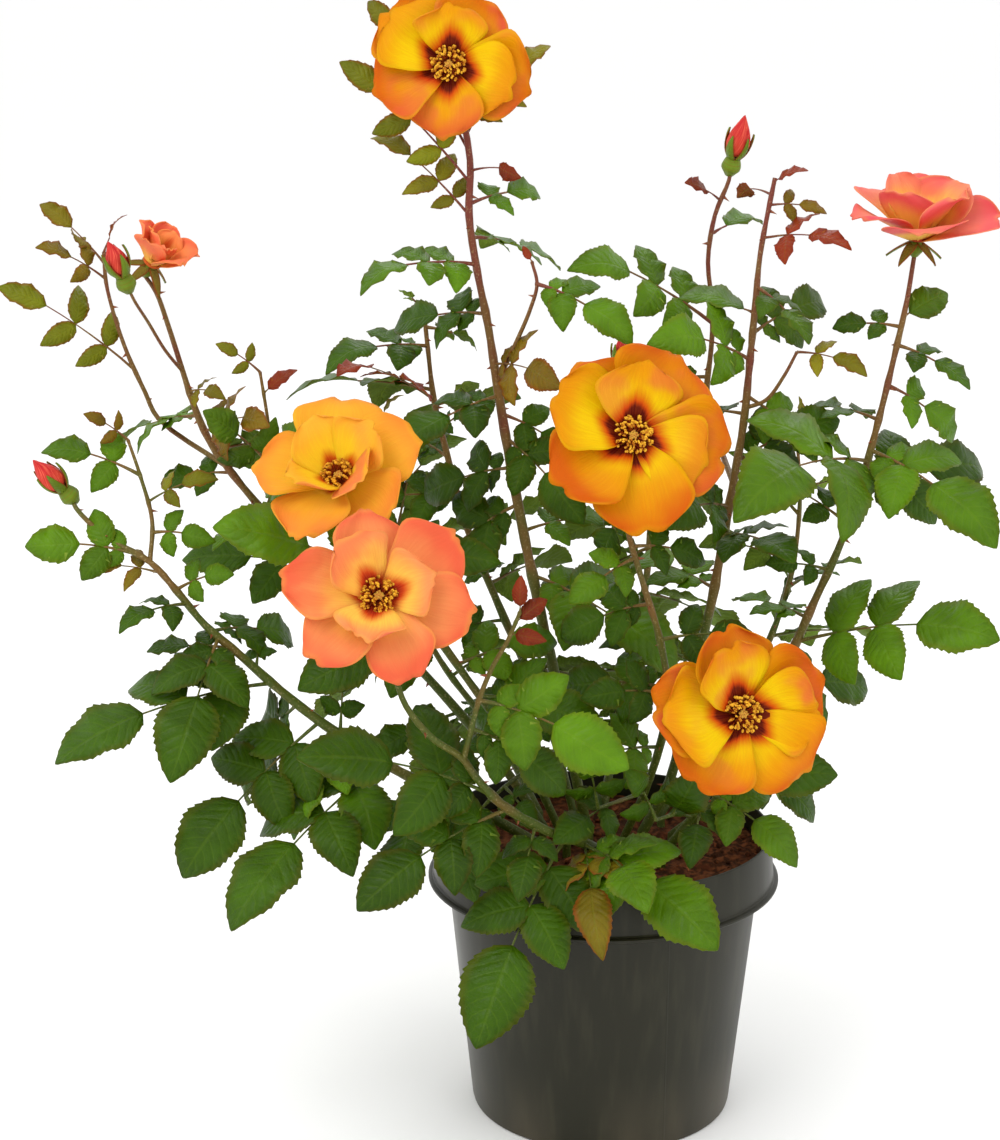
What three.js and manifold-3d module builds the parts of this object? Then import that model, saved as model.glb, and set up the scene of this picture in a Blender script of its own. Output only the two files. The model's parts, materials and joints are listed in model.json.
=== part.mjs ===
// A potted Persian rose: a bushy hybrid with single to half-double orange, yellow and salmon flowers, each
// with a dark red eye, growing in a black nursery pot. Millimetres, +Z up, the pot's underside centred on the
// origin and standing on Z = 0. The front of the plant, as photographed, looks along -Y.
import * as THREE from 'three';
import { mergeVertices } from 'three/addons/utils/BufferGeometryUtils.js';
import Module from 'manifold-3d';

const wasm = await Module();
wasm.setup();
const { Manifold } = wasm;
const { Vector3 } = THREE;

// Driving dimensions, in mm
const POT = {
  height: 157,
  wall: 1.7,
  floor: 2.4,
  baseRadius: 71.2,
  bodyTopRadius: 84.2,
  collarFootRadius: 92.4,
  collarTopRadius: 90.7,
  lipRadius: 95,
  lipLevel: 131.5,
  lipThickness: 2.2,
  sides: 30,
  drainHoles: 6,
  drainRadius: 4.5,
  drainCircle: 66,
};
const SOIL = { level: 143, lump: 1.4, rings: 2 };
const GAP = 0.3; // what touching pieces keep between them
const STEM = { sides: 5, holeDepth: 12, holeSlack: 1.5, stump: 8 };
const LEAFLET = { thickness: 1, halfWidth: 0.35, youngHalfWidth: 0.26, arch: 0.07, fold: 0.14 };
const LENGTHS = { fine: 46, plain: 32, tiny: 24 }; // from which a leaflet has finer teeth
const PAIRS = { upper: 0.86, lower: 0.74, uneven: 0.12, room: 1.55, droop: 0.1 };
const RACHIS = { halfWidth: 0.8, thickness: 1.5, lift: 0.13, spread: 62, uneven: 10, node: 1.6 };
const RIB_SHARE = { 1: 0.14, 3: 0.5, 5: 0.6 }; // the least part of a leaf's reach that is bare rib
const RIB_SPOTS = { 1: [], 3: [0.52], 5: [0.32, 0.67] }; // where pairs of leaflets stand on the rib
const LIGHT = { front: [0.45, 0.75], back: [0.8, 0], up: 0.62, border: 60 };
const HIP = { radius: 4.2, length: 9, budSwell: 1.25 };
const SEPAL = { count: 5, length: 17, uneven: 0.15, open: -30, closed: 54, young: 0.6 };
const PETAL = {
  thickness: 0.95,
  hub: 5.4,
  hubDepth: 1.6,
  start: 3,
  pinwheel: 11,
  cup: 0.16,
  round: 0.12,
  notch: 0.05,
  ruffle: 1.6,
  uneven: 0.18,
  nod: 4,
  stray: 20,
  flat: 30,
};
const PETAL_WIDTHS = [0.16, 0.56, 0.78, 0.51]; // of a petal's rows, claw first, in shares of its reach
const STAMEN = {
  foot: 2.4,
  valley: 3.4,
  valleyRise: 2.6,
  reach: 10,
  rise: 7,
  center: 3,
  count: 7,
  clear: 0.3,
  scales: [1, 0.85, 0.7, 0.55, 0.42],
};
const PRICKLE = { length: 5, radius: 1.3, spacing: 95 };
const MERGE = 0.1; // the finest step worth a face
const SWAY = [1, -0.5, 0.6, -1, 0.2, 0.9, -0.7]; // how far leaves stand before and behind their shoot
const SWING_BEND = 1.3;
const UP = new Vector3(0, 0, 1);

// The photograph's sight lines, 1000 by 1140 pixels: where its eye stands, and its lens in pixels
const SIGHT = { across: 500, down: 570, focal: 2400, eye: [-56, -1222.6, 622.1], pitch: 14.74 };

// The plant. Places are [across, down, back]: pixels in the photograph, then mm behind the pot's axis. A foot
// is [x, y] on the soil. A side shoot starts at a place along its parent's route, counted in route steps. Its
// top swings back by `swing` mm, and its leaves spread to both sides of it by `spread` mm. A leaf is [start
// along the route, its tip's place, leaflets, end leaflet's length, roll in degrees, look]. Looks: 0 old,
// 1 fresh, 2 grey-green, 3 bronze, 4 red.
const SHOOTS = [
  {
    'name': 'cane_crest', 'foot': [-8, 8], 'thick': [2.9, 1.3],
    'swing': 0, 'spread': 24,
    'route': [[560, 700, 4], [540, 610, 5], [525, 540, 5], [508, 450, 5], [498, 390, 5], [488, 325, 4],
      [477, 270, 0], [469, 215, -2], [470, 160, -2]],
    'bloom': 'crest',
    'leaves': [
      [7.1, [358, 284, -32], 5, 36, 18, 1], [8.2, [544, 192, 6], 3, 30, 10, 1],
      [8.6, [338, 64, 28], 5, 30, -10, 3], [9.3, [549, 44, 16], 3, 26, 15, 3],
      [9.1, [366, 3, 18], 1, 28, -15, 3], [8.8, [521, 176, -16], 1, 17, 40, 4],
      [8.0, [372, 132, -12], 3, 26, 20, 3], [5.4, [562, 388, -34], 3, 34, 12, 3],
      [4.2, [584, 524, -30], 3, 42, 0, 0], [2.5, [680, 671, 4], 3, 54, -14, 1],
      [4.9, [396, 452, -30], 3, 46, 10, 0], [3.4, [410, 590, -2], 3, 48, -12, 0],
      [1.4, [470, 730, 26], 3, 46, 0, 0], [2.1, [640, 600, 30], 3, 46, 8, 0],
      [3.1, [612, 520, 34], 3, 44, 0, 1], [3.8, [420, 500, 24], 3, 42, -8, 0],
      [4.6, [580, 462, 30], 3, 38, 6, 0], [6.2, [392, 330, 30], 3, 36, 10, 0],
      [7.6, [560, 270, 20], 3, 30, 0, 1],
    ],
  },
  {
    'name': 'crest_side', 'parent': 'cane_crest', 'from': 5.1, 'thick': [1.3, 0.8],
    'swing': 0, 'spread': 8,
    'route': [[515, 345, -6], [530, 310, -10], [537, 284, -12], [532, 262, -12]],
    'leaves': [
      [3.0, [633, 340, -30], 3, 46, -18, 1], [4, [522, 246, -14], 1, 14, 0, 4],
    ],
  },
  {
    'name': 'cane_left', 'foot': [-30, -14], 'thick': [2.8, 1.1],
    'swing': 0, 'spread': 20,
    'route': [[470, 806, -26], [400, 772, -32], [325, 725, -34], [280, 690, -34], [240, 655, -32],
      [205, 625, -30], [176, 590, -28], [150, 562, -26], [105, 536, -22], [76, 508, -18]],
    'bud': 'bud_left',
    'leaves': [
      [4.2, [55, 764, -70], 5, 50, 8, 0], [3.1, [184, 880, -84], 5, 46, -8, 0],
      [2.2, [231, 931, -92], 5, 52, 6, 0], [2.6, [286, 834, -70], 3, 48, 16, 1],
      [5.2, [146, 653, -50], 3, 30, 35, 0], [6.6, [118, 626, -46], 3, 34, 4, 0],
      [7.6, [84, 568, -44], 3, 30, 18, 3], [8.3, [24, 548, -16], 3, 40, -12, 1],
      [7.0, [234, 572, -52], 3, 36, 8, 1], [5.6, [176, 780, -74], 3, 48, -22, 0],
      [1.7, [398, 892, -92], 3, 44, 10, 0], [3.6, [232, 800, -6], 3, 44, 6, 0],
      [1.2, [470, 900, -60], 3, 46, 0, 0], [5.8, [300, 640, -10], 3, 42, 0, 0],
      [2.8, [345, 660, -20], 3, 46, 0, 0], [4.6, [262, 632, -20], 3, 42, 0, 0],
    ],
  },
  {
    'name': 'left_side', 'parent': 'cane_left', 'from': 8.0, 'thick': [1.3, 0.8],
    'swing': 10, 'spread': 18,
    'route': [[152, 520, -22], [140, 475, -18], [128, 440, -14]],
    'leaves': [
      [2.0, [42, 446, -16], 3, 28, 10, 1], [1.4, [216, 476, -34], 3, 28, -8, 3],
      [3, [84, 414, -8], 3, 22, 0, 3], [0.7, [212, 542, -46], 3, 30, 12, 1],
    ],
  },
  {
    'name': 'cane_west', 'foot': [-32, 20], 'thick': [2.6, 1.1],
    'swing': 34, 'spread': 26,
    'route': [[500, 762, 30], [430, 680, 34], [370, 620, 36], [300, 550, 36], [243, 487, 34],
      [209, 440, 30], [192, 400, 26], [183, 372, 20], [168, 325, 8], [156, 292, -2]],
    'bloom': 'west',
    'leaves': [
      [4.2, [212, 540, 8], 3, 42, 10, 1], [2.4, [320, 720, 60], 3, 48, 0, 0],
      [6.2, [270, 424, 0], 3, 28, 8, 3], [7.3, [222, 396, -6], 3, 24, -10, 3],
      [5.3, [160, 486, 20], 3, 34, 4, 0], [4.6, [300, 424, 20], 3, 36, -10, 1],
      [6.6, [112, 446, 36], 3, 30, 6, 1], [3.7, [182, 560, 60], 3, 42, 0, 0],
      [1.6, [370, 760, 10], 3, 50, 0, 0], [3.0, [420, 560, 30], 3, 44, 0, 0],
      [5.8, [330, 450, 40], 3, 34, 0, 0],
    ],
  },
  {
    'name': 'west_red', 'parent': 'cane_west', 'from': 5.4, 'thick': [1.5, 0.9],
    'swing': 36, 'spread': 14,
    'route': [[158, 418, 34], [145, 392, 34], [128, 355, 32], [115, 318, 30], [106, 282, 28],
      [104, 252, 26]],
    'leaves': [
      [2.6, [-4, 289, 30], 5, 31, 6, 3], [5.6, [39, 203, 30], 3, 36, 0, 3],
      [5.1, [37, 246, 18], 3, 32, 10, 3], [6, [122, 212, 26], 1, 16, 0, 4],
    ],
  },
  {
    'name': 'west_stalk', 'parent': 'cane_west', 'from': 8.0, 'thick': [1.0, 0.8],
    'swing': 30, 'spread': 0,
    'route': [[165, 350, 2], [148, 322, -12], [134, 300, -30]],
    'bud': 'bud_west',
    'leaves': [],
  },
  {
    'name': 'west_twig', 'parent': 'cane_west', 'from': 4.2, 'thick': [1.3, 0.8],
    'swing': 14, 'spread': 12,
    'route': [[280, 500, 22], [272, 450, 14], [266, 408, 10], [260, 372, 8]],
    'leaves': [
      [4, [216, 344, 6], 3, 20, 0, 3], [3.4, [296, 368, 4], 1, 20, 10, 4],
      [1.6, [202, 414, 0], 3, 28, -12, 2],
    ],
  },
  {
    'name': 'cane_centre', 'foot': [-14, 30], 'thick': [2.3, 1.0],
    'swing': 34, 'spread': 24,
    'route': [[548, 720, 42], [505, 620, 46], [468, 530, 48], [446, 450, 48], [434, 400, 46],
      [428, 350, 42], [424, 312, 38]],
    'leaves': [
      [6.1, [324, 362, 22], 3, 44, 10, 0], [5.2, [284, 391, 40], 3, 42, -6, 2],
      [5.0, [338, 372, 2], 3, 29, 10, 4], [6.6, [480, 346, 26], 3, 35, 4, 0],
      [4.4, [466, 412, 14], 3, 46, 10, 0], [3.4, [350, 505, 60], 3, 51, 0, 0],
      [2.4, [570, 560, 70], 3, 55, 0, 0], [7, [400, 290, 34], 3, 35, 8, 1],
      [1.5, [610, 690, 60], 3, 53, 0, 0], [2.0, [410, 650, 70], 3, 53, 8, 0],
      [2.9, [548, 505, 70], 3, 48, 0, 0], [3.9, [380, 430, 70], 3, 42, 0, 0],
      [4.9, [520, 400, 80], 3, 37, 4, 2], [2.4, [470, 560, 60], 3, 48, 0, 0],
      [1.0, [530, 760, 50], 3, 52, 0, 0],
    ],
  },
  {
    'name': 'cane_tall', 'foot': [22, 12], 'thick': [3.0, 1.0],
    'swing': 26, 'spread': 26,
    'route': [[670, 780, 12], [690, 690, 8], [712, 600, 2], [722, 545, -2], [732, 490, -4],
      [744, 420, -4], [750, 360, -4], [755, 308, -4], [760, 256, -4], [768, 212, -4], [775, 178, -4]],
    'leaves': [
      [10.9, [807, 168, -4], 1, 22, 0, 4], [10.2, [828, 212, -16], 3, 22, 10, 3],
      [9.4, [852, 246, -14], 3, 26, 6, 4], [8.4, [812, 344, -42], 3, 45, -12, 2],
      [7.9, [678, 293, -18], 1, 39, 22, 1], [7.0, [656, 336, -30], 3, 41, 8, 1],
      [10.5, [736, 196, 14], 1, 19, 0, 4], [5.4, [840, 420, 34], 3, 45, 0, 0],
      [4.2, [796, 560, -76], 3, 50, 4, 0], [2.3, [600, 640, 30], 3, 56, 0, 0],
      [1.6, [760, 720, 20], 3, 52, 0, 0], [3.2, [628, 560, 30], 3, 50, 0, 1],
      [4.7, [668, 520, -40], 3, 45, 0, 0], [6.4, [820, 460, -42], 3, 48, 8, 1],
      [6.1, [672, 420, 40], 3, 41, 0, 0], [7.5, [830, 300, 20], 3, 37, 0, 2],
    ],
  },
  {
    'name': 'tall_side', 'parent': 'cane_tall', 'from': 6.2, 'thick': [1.2, 0.8],
    'swing': 22, 'spread': 10,
    'route': [[766, 400, -18], [784, 376, -22], [797, 352, -24]],
    'leaves': [
      [3, [868, 372, -34], 3, 26, 0, 3],
    ],
  },
  {
    'name': 'tall_bud', 'parent': 'cane_tall', 'from': 5.1, 'thick': [1.7, 1.0],
    'swing': 40, 'spread': 18,
    'route': [[718, 440, 10], [707, 395, 14], [711, 350, 16], [713, 312, 16], [708, 262, 14],
      [715, 215, 12], [729, 180, 10]],
    'bud': 'bud_top',
    'leaves': [
      [3.7, [573, 259, -6], 5, 36, -10, 1], [5.6, [763, 214, 26], 1, 28, 8, 1],
      [6.4, [686, 184, 4], 1, 20, 0, 4], [2.4, [600, 402, 44], 3, 40, 0, 0],
    ],
  },
  {
    'name': 'cane_east', 'foot': [38, 8], 'thick': [2.7, 1.2],
    'swing': 12, 'spread': 24,
    'route': [[716, 800, 8], [748, 735, 10], [788, 660, 10], [815, 600, 8], [838, 550, 6],
      [857, 498, 4], [872, 445, 2], [885, 395, 0], [897, 345, 0], [907, 300, 0]],
    'bloom': 'east',
    'leaves': [
      [6.9, [996, 541, -44], 3, 54, 10, 1], [6.0, [992, 464, 26], 3, 42, 4, 0],
      [3.3, [1000, 640, -26], 5, 46, 0, 1], [9.0, [972, 388, -24], 3, 46, -10, 0],
      [9.4, [832, 328, -16], 3, 38, 8, 0], [9.6, [946, 290, 30], 1, 28, 0, 2],
      [6.7, [741, 502, -120], 3, 54, 20, 1], [4.6, [766, 566, 8], 3, 44, 8, 0],
      [2.6, [868, 690, 40], 3, 44, 0, 0], [1.6, [820, 820, 30], 3, 46, 0, 0],
      [2.3, [690, 690, 26], 3, 46, 0, 0], [3.7, [730, 600, 30], 3, 44, 6, 1],
      [5.5, [770, 480, 30], 3, 42, 0, 0], [7.5, [800, 410, 20], 3, 40, 4, 0],
      [8.2, [960, 440, 20], 3, 38, 0, 1],
    ],
  },
  {
    'name': 'cane_noon', 'foot': [8, -12], 'thick': [2.3, 1.1],
    'swing': 0, 'spread': 0,
    'route': [[650, 778, -26], [668, 700, -46], [660, 640, -54], [642, 580, -54], [627, 524, -48]],
    'bloom': 'noon',
    'leaves': [
      [4.4, [572, 606, -78], 3, 48, 6, 1], [3.0, [760, 640, -58], 3, 50, 0, 0],
      [2.1, [582, 700, -70], 3, 54, 0, 0], [1.4, [570, 770, -70], 3, 54, 0, 1],
      [3.6, [560, 640, -30], 3, 50, 0, 0], [4.6, [706, 560, -30], 3, 43, 0, 0],
      [2.2, [560, 690, -20], 3, 50, 0, 0], [5.2, [600, 560, -20], 3, 44, 0, 0],
    ],
  },
  {
    'name': 'cane_front', 'foot': [0, -44], 'thick': [2.6, 1.2],
    'swing': 0, 'spread': 0,
    'route': [[594, 848, -62], [545, 830, -78], [500, 803, -92], [475, 776, -100], [462, 758, -104],
      [432, 738, -108], [406, 706, -110], [394, 672, -110]],
    'bloom': 'salmon',
    'leaves': [
      [1.6, [476, 1049, -138], 5, 52, -6, 0], [1.2, [598, 952, -128], 3, 52, 10, 3],
      [3.3, [296, 758, -122], 3, 50, 14, 0], [2.8, [360, 912, -132], 5, 44, 0, 0],
      [1.3, [718, 950, -124], 3, 54, -12, 1], [1.0, [650, 905, -130], 3, 50, 0, 1],
      [2.2, [520, 900, -120], 3, 50, 0, 0],
    ],
  },
  {
    'name': 'front_tip', 'parent': 'cane_front', 'from': 4.9, 'thick': [1.6, 0.9],
    'swing': 0, 'spread': 0,
    'route': [[470, 735, -108], [479, 700, -108], [492, 668, -106], [508, 640, -104], [520, 612, -102]],
    'leaves': [
      [5, [521, 576, -100], 1, 20, 0, 4], [4.2, [546, 640, -112], 1, 24, 10, 4],
      [4.6, [548, 598, -96], 1, 18, 0, 4], [2.0, [629, 769, -124], 3, 54, 12, 1],
      [1.2, [570, 792, -104], 3, 44, 0, 0],
    ],
  },
  {
    'name': 'cane_low', 'foot': [30, -24], 'thick': [2.4, 1.2],
    'swing': 0, 'spread': 0,
    'route': [[704, 800, -44], [722, 765, -62]],
    'bloom': 'low',
    'leaves': [
      [1.2, [801, 862, -76], 3, 42, 0, 1], [1.6, [838, 772, -60], 1, 40, 8, 0],
      [1.0, [690, 862, -90], 3, 46, 10, 0],
    ],
  },
  {
    'name': 'cane_upper', 'foot': [-20, -8], 'thick': [2.3, 1.1],
    'swing': 0, 'spread': 0,
    'route': [[525, 760, -14], [468, 680, -24], [415, 605, -32], [378, 548, -36], [352, 512, -38]],
    'bloom': 'upper',
    'leaves': [
      [3.2, [214, 528, -64], 3, 52, 14, 1], [2.5, [300, 690, -60], 3, 52, 0, 0],
      [3.7, [500, 560, -54], 3, 48, 4, 0], [1.8, [600, 730, -66], 3, 50, 0, 0],
      [1.3, [440, 800, -50], 3, 50, 0, 0], [2.2, [560, 640, -10], 3, 46, 0, 1],
      [3.4, [310, 620, -20], 3, 44, 0, 0],
    ],
  },
  {
    'name': 'cane_back', 'foot': [2, 46], 'thick': [2.5, 1.0],
    'swing': 0, 'spread': 14,
    'route': [[618, 720, 84], [640, 620, 116], [650, 530, 136], [640, 450, 146], [626, 390, 148]],
    'bud': 'bud_back',
    'leaves': [
      [1.5, [520, 700, 150], 3, 57, 0, 0], [2.3, [740, 640, 160], 3, 57, 0, 0],
      [3.2, [560, 540, 176], 3, 55, 0, 0], [4.2, [710, 450, 176], 3, 48, 0, 1],
      [5.2, [570, 372, 164], 3, 34, 0, 3], [1.9, [720, 720, 110], 3, 57, 0, 0],
      [2.8, [570, 600, 130], 3, 55, 0, 0], [3.7, [730, 520, 160], 3, 51, 0, 0],
      [4.7, [690, 400, 170], 3, 39, 0, 1], [2.3, [650, 610, 120], 3, 52, 0, 0],
      [1.2, [600, 745, 90], 3, 54, 0, 0],
    ],
  },
  {
    'name': 'cane_back_left', 'foot': [-34, 42], 'thick': [2.3, 0.9],
    'swing': -24, 'spread': 22,
    'route': [[500, 740, 88], [440, 660, 118], [400, 580, 134], [378, 500, 140], [368, 440, 138]],
    'leaves': [
      [1.4, [420, 790, 140], 3, 57, 0, 0], [2.3, [310, 650, 140], 3, 55, 0, 0],
      [3.2, [480, 520, 168], 3, 53, 0, 0], [4.2, [290, 470, 150], 3, 46, 0, 1],
      [5, [400, 392, 130], 3, 34, 0, 3], [1.8, [520, 640, 140], 3, 55, 0, 0],
      [2.8, [330, 560, 150], 3, 53, 0, 0], [3.8, [460, 430, 150], 3, 44, 0, 0],
      [1.3, [465, 700, 110], 3, 52, 0, 0], [3.3, [430, 400, 140], 3, 44, 0, 0],
    ],
  },
  {
    'name': 'cane_back_right', 'foot': [34, 40], 'thick': [2.3, 0.9],
    'swing': -20, 'spread': 22,
    'route': [[710, 740, 82], [760, 660, 110], [790, 580, 122], [800, 500, 124], [798, 450, 120]],
    'leaves': [
      [1.4, [780, 800, 130], 3, 57, 0, 0], [2.3, [890, 640, 120], 3, 55, 0, 0],
      [3.2, [700, 540, 156], 3, 53, 0, 0], [4.2, [880, 480, 140], 3, 46, 0, 1],
      [5, [800, 396, 110], 3, 34, 0, 3], [1.9, [680, 630, 140], 3, 55, 0, 0],
      [2.9, [860, 560, 130], 3, 51, 0, 0], [3.8, [730, 450, 140], 3, 46, 0, 0],
      [2.4, [790, 570, 130], 3, 48, 0, 0], [1.4, [775, 650, 120], 3, 50, 0, 0],
    ],
  },
  {
    'name': 'noon_twig', 'parent': 'cane_noon', 'from': 0.8, 'thick': [1.3, 0.8],
    'swing': 0, 'spread': 0,
    'route': [[622, 800, -44], [598, 808, -62]],
    'leaves': [
      [1.1, [556, 846, -84], 3, 44, 0, 0], [2, [586, 756, -88], 3, 44, 0, 0],
    ],
  },
  {
    'name': 'low_twig', 'parent': 'cane_low', 'from': 0.7, 'thick': [1.3, 0.8],
    'swing': 0, 'spread': 0,
    'route': [[676, 814, -60], [656, 820, -74]],
    'leaves': [
      [2, [630, 772, -96], 3, 44, 0, 0], [1.2, [700, 776, -90], 1, 40, 0, 0],
    ],
  },
  {
    'name': 'upper_twig', 'parent': 'cane_upper', 'from': 0.9, 'thick': [1.3, 0.8],
    'swing': 0, 'spread': 0,
    'route': [[508, 784, -30], [490, 800, -44]],
    'leaves': [
      [2, [456, 846, -66], 3, 44, 0, 0], [1.2, [534, 828, -66], 3, 44, 0, 0],
    ],
  },
];

// Blooms: the eye's place, the way the bloom faces [turn right of the front, height] in degrees, the reach of
// its petals, then rings of petals: [how many, length share, width share, rise at the claw, rise at the edge,
// first turn]
const BLOOMS = {
  'crest': { 'at': [450, 66, -14], 'faces': [-8, 16], 'reach': 41, 'tone': 'amber',
    'rings': [[5, 1, 0.66, 16, 2, -30], [2, 0.92, 0.62, 26, 10, 60], [1, 0.76, 0.56, 36, 26, 0]] },
  'noon': { 'at': [632, 437, -66], 'faces': [6, 24], 'reach': 49, 'tone': 'amber',
    'rings': [[5, 1, 0.66, 16, 4, -32], [2, 0.9, 0.62, 28, 10, 58], [1, 0.78, 0.56, 38, 26, -6]] },
  'low': { 'at': [740, 714, -92], 'faces': [14, 18], 'reach': 49, 'tone': 'amber',
    'rings': [[5, 1, 0.66, 18, 6, 4], [2, 0.9, 0.62, 28, 12, 92], [1, 0.8, 0.56, 38, 26, 24]] },
  'upper': { 'at': [340, 480, -58], 'faces': [-12, 46], 'reach': 47, 'tone': 'amber',
    'rings': [[5, 1, 0.6, 24, 12, 10], [4, 0.76, 0.46, 58, 46, 44]] },
  'salmon': { 'at': [378, 598, -122], 'faces': [8, 30], 'reach': 49, 'tone': 'coral',
    'rings': [[6, 1, 0.5, 20, 6, 14], [3, 0.72, 0.46, 50, 36, 40]] },
  'east': { 'at': [917, 238, 12], 'faces': [20, 78], 'reach': 45, 'tone': 'coral',
    'rings': [[5, 1, 0.62, 36, 18, 0], [4, 0.84, 0.54, 60, 54, 36]] },
  'west': { 'at': [152, 262, 30], 'faces': [56, 50], 'reach': 26, 'tone': 'coral',
    'rings': [[5, 1, 0.46, 62, 50, 12], [3, 0.84, 0.4, 78, 72, 40]] },
};

// Buds: the foot's place, the way the bud points, its length and greatest radius
const BUDS = {
  'bud_left': { 'at': [62, 488, -16], 'faces': [-62, 48], 'long': 22, 'radius': 6.4 },
  'bud_top': { 'at': [734, 156, 48], 'faces': [28, 66], 'long': 24, 'radius': 6.6 },
  'bud_west': { 'at': [122, 274, -4], 'faces': [-34, 62], 'long': 20, 'radius': 6 },
  'bud_back': { 'at': [622, 366, 148], 'faces': [0, 80], 'long': 20, 'radius': 6 },
};

const PAINTS = {
  plastic: { color: 0x2f302c, roughness: 0.45, metalness: 0 },
  soil: { color: 0x3c281c, roughness: 1, metalness: 0 },
  leaf: { color: 0x47701f, roughness: 0.5, metalness: 0 },
  amber: { color: 0xf59a16, roughness: 0.6, metalness: 0 },
  coral: { color: 0xf0785a, roughness: 0.6, metalness: 0 },
  anther: { color: 0xd9982f, roughness: 0.8, metalness: 0 },
  bud: { color: 0xc23a2c, roughness: 0.55, metalness: 0 },
};

// A repeatable draw from 0 to 1
function draw(index) {
  const value = Math.sin(index * 12.9898 + 4.1) * 43758.5453;
  return value - Math.floor(value);
}

// Where the sight line of a pixel stands `back` mm behind the pot's axis
function place([across, down, back]) {
  const pitch = THREE.MathUtils.degToRad(SIGHT.pitch);
  const right = (across - SIGHT.across) / SIGHT.focal;
  const up = (SIGHT.down - down) / SIGHT.focal;
  const [sin, cos] = [Math.sin(pitch), Math.cos(pitch)];
  const ray = new Vector3(right, cos + up * sin, up * cos - sin);
  const eye = new Vector3(...SIGHT.eye);
  return eye.clone().addScaledVector(ray, (back - eye.y) / ray.y);
}

// The way that a turn right of the front and a height above the level face
function heading([turn, height]) {
  const a = THREE.MathUtils.degToRad(turn);
  const h = THREE.MathUtils.degToRad(height);
  return new Vector3(Math.sin(a) * Math.cos(h), -Math.cos(a) * Math.cos(h), Math.sin(h));
}

function solidOf(positions, triangles) {
  const mesh = new wasm.Mesh({
    numProp: 3,
    vertProperties: new Float32Array(positions),
    triVerts: new Uint32Array(triangles),
  });
  return new Manifold(mesh);
}

function solidFrom(geometry) {
  const bare = geometry.clone();
  bare.deleteAttribute('normal');
  bare.deleteAttribute('uv');
  const merged = mergeVertices(bare, 1e-4);
  return solidOf(merged.attributes.position.array, merged.index.array);
}

// A blade whose two faces share one outline: inner points stand half a thickness off on either side
function blade(points, faces, normals, thickness) {
  const positions = [];
  const top = [];
  const under = [];
  points.forEach((point, i) => {
    const normal = normals[i];
    if (!normal) {
      top[i] = positions.length / 3;
      under[i] = top[i];
      positions.push(point.x, point.y, point.z);
      return;
    }
    for (const [list, side] of [[top, 0.5], [under, -0.5]]) {
      const at = point.clone().addScaledVector(normal, thickness * side);
      list[i] = positions.length / 3;
      positions.push(at.x, at.y, at.z);
    }
  });
  const triangles = [];
  for (const [a, b, c] of faces) {
    triangles.push(top[a], top[b], top[c], under[a], under[c], under[b]);
  }
  return solidOf(positions, triangles);
}

// Half outlines of a toothed leaflet: [share of the length, share of the half width]
const TEETH = {
  fine: [[0.1, 0.58], [0.33, 1], [0.38, 0.85], [0.62, 0.78], [0.67, 0.6]],
  plain: [[0.16, 0.74], [0.4, 1], [0.46, 0.82], [0.72, 0.5]],
  small: [[0.2, 0.84], [0.46, 1], [0.52, 0.78]],
  tiny: [[0.22, 0.88], [0.56, 0.86]],
};

// The teeth of an end leaflet, or of a side leaflet, which has fewer
function teethFor(length, isEnd) {
  if (length >= LENGTHS.fine) {
    return isEnd ? TEETH.fine : TEETH.plain;
  }
  if (isEnd && length >= LENGTHS.plain) {
    return TEETH.plain;
  }
  return isEnd || length >= LENGTHS.tiny ? TEETH.small : TEETH.tiny;
}

// A round bar bent along a curve, closed at both ends
function bar(curve, steps, sides, from, to) {
  const geometry = new THREE.CylinderGeometry(to, from, 1, sides, steps);
  const frames = [];
  const span = curve.getPoint(1).sub(curve.getPoint(0)).normalize();
  let across = new Vector3(0.31, 0.87, 0.12).cross(span).normalize();
  for (let i = 0; i <= steps; i += 1) {
    const at = curve.getPoint(i / steps);
    const along = curve.getTangent(i / steps);
    across = across.clone().addScaledVector(along, -across.dot(along)).normalize();
    frames.push([at, across, new Vector3().crossVectors(across, along)]);
  }
  const position = geometry.attributes.position;
  for (let i = 0; i < position.count; i += 1) {
    const [at, a, b] = frames[Math.round((position.getY(i) + 0.5) * steps)];
    const bent = at.clone().addScaledVector(a, position.getX(i)).addScaledVector(b, position.getZ(i));
    position.setXYZ(i, bent.x, bent.y, bent.z);
  }
  return solidFrom(geometry);
}

// Which way a leaf's upper face leans: up, and out to the light on its own side of the plant
function lightAt(tip) {
  const [outward, forward] = tip.y < LIGHT.border ? LIGHT.front : LIGHT.back;
  const out = new Vector3(tip.x, tip.y, 0).normalize();
  return out.multiplyScalar(outward).add(new Vector3(0, -forward, LIGHT.up)).normalize();
}

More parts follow.
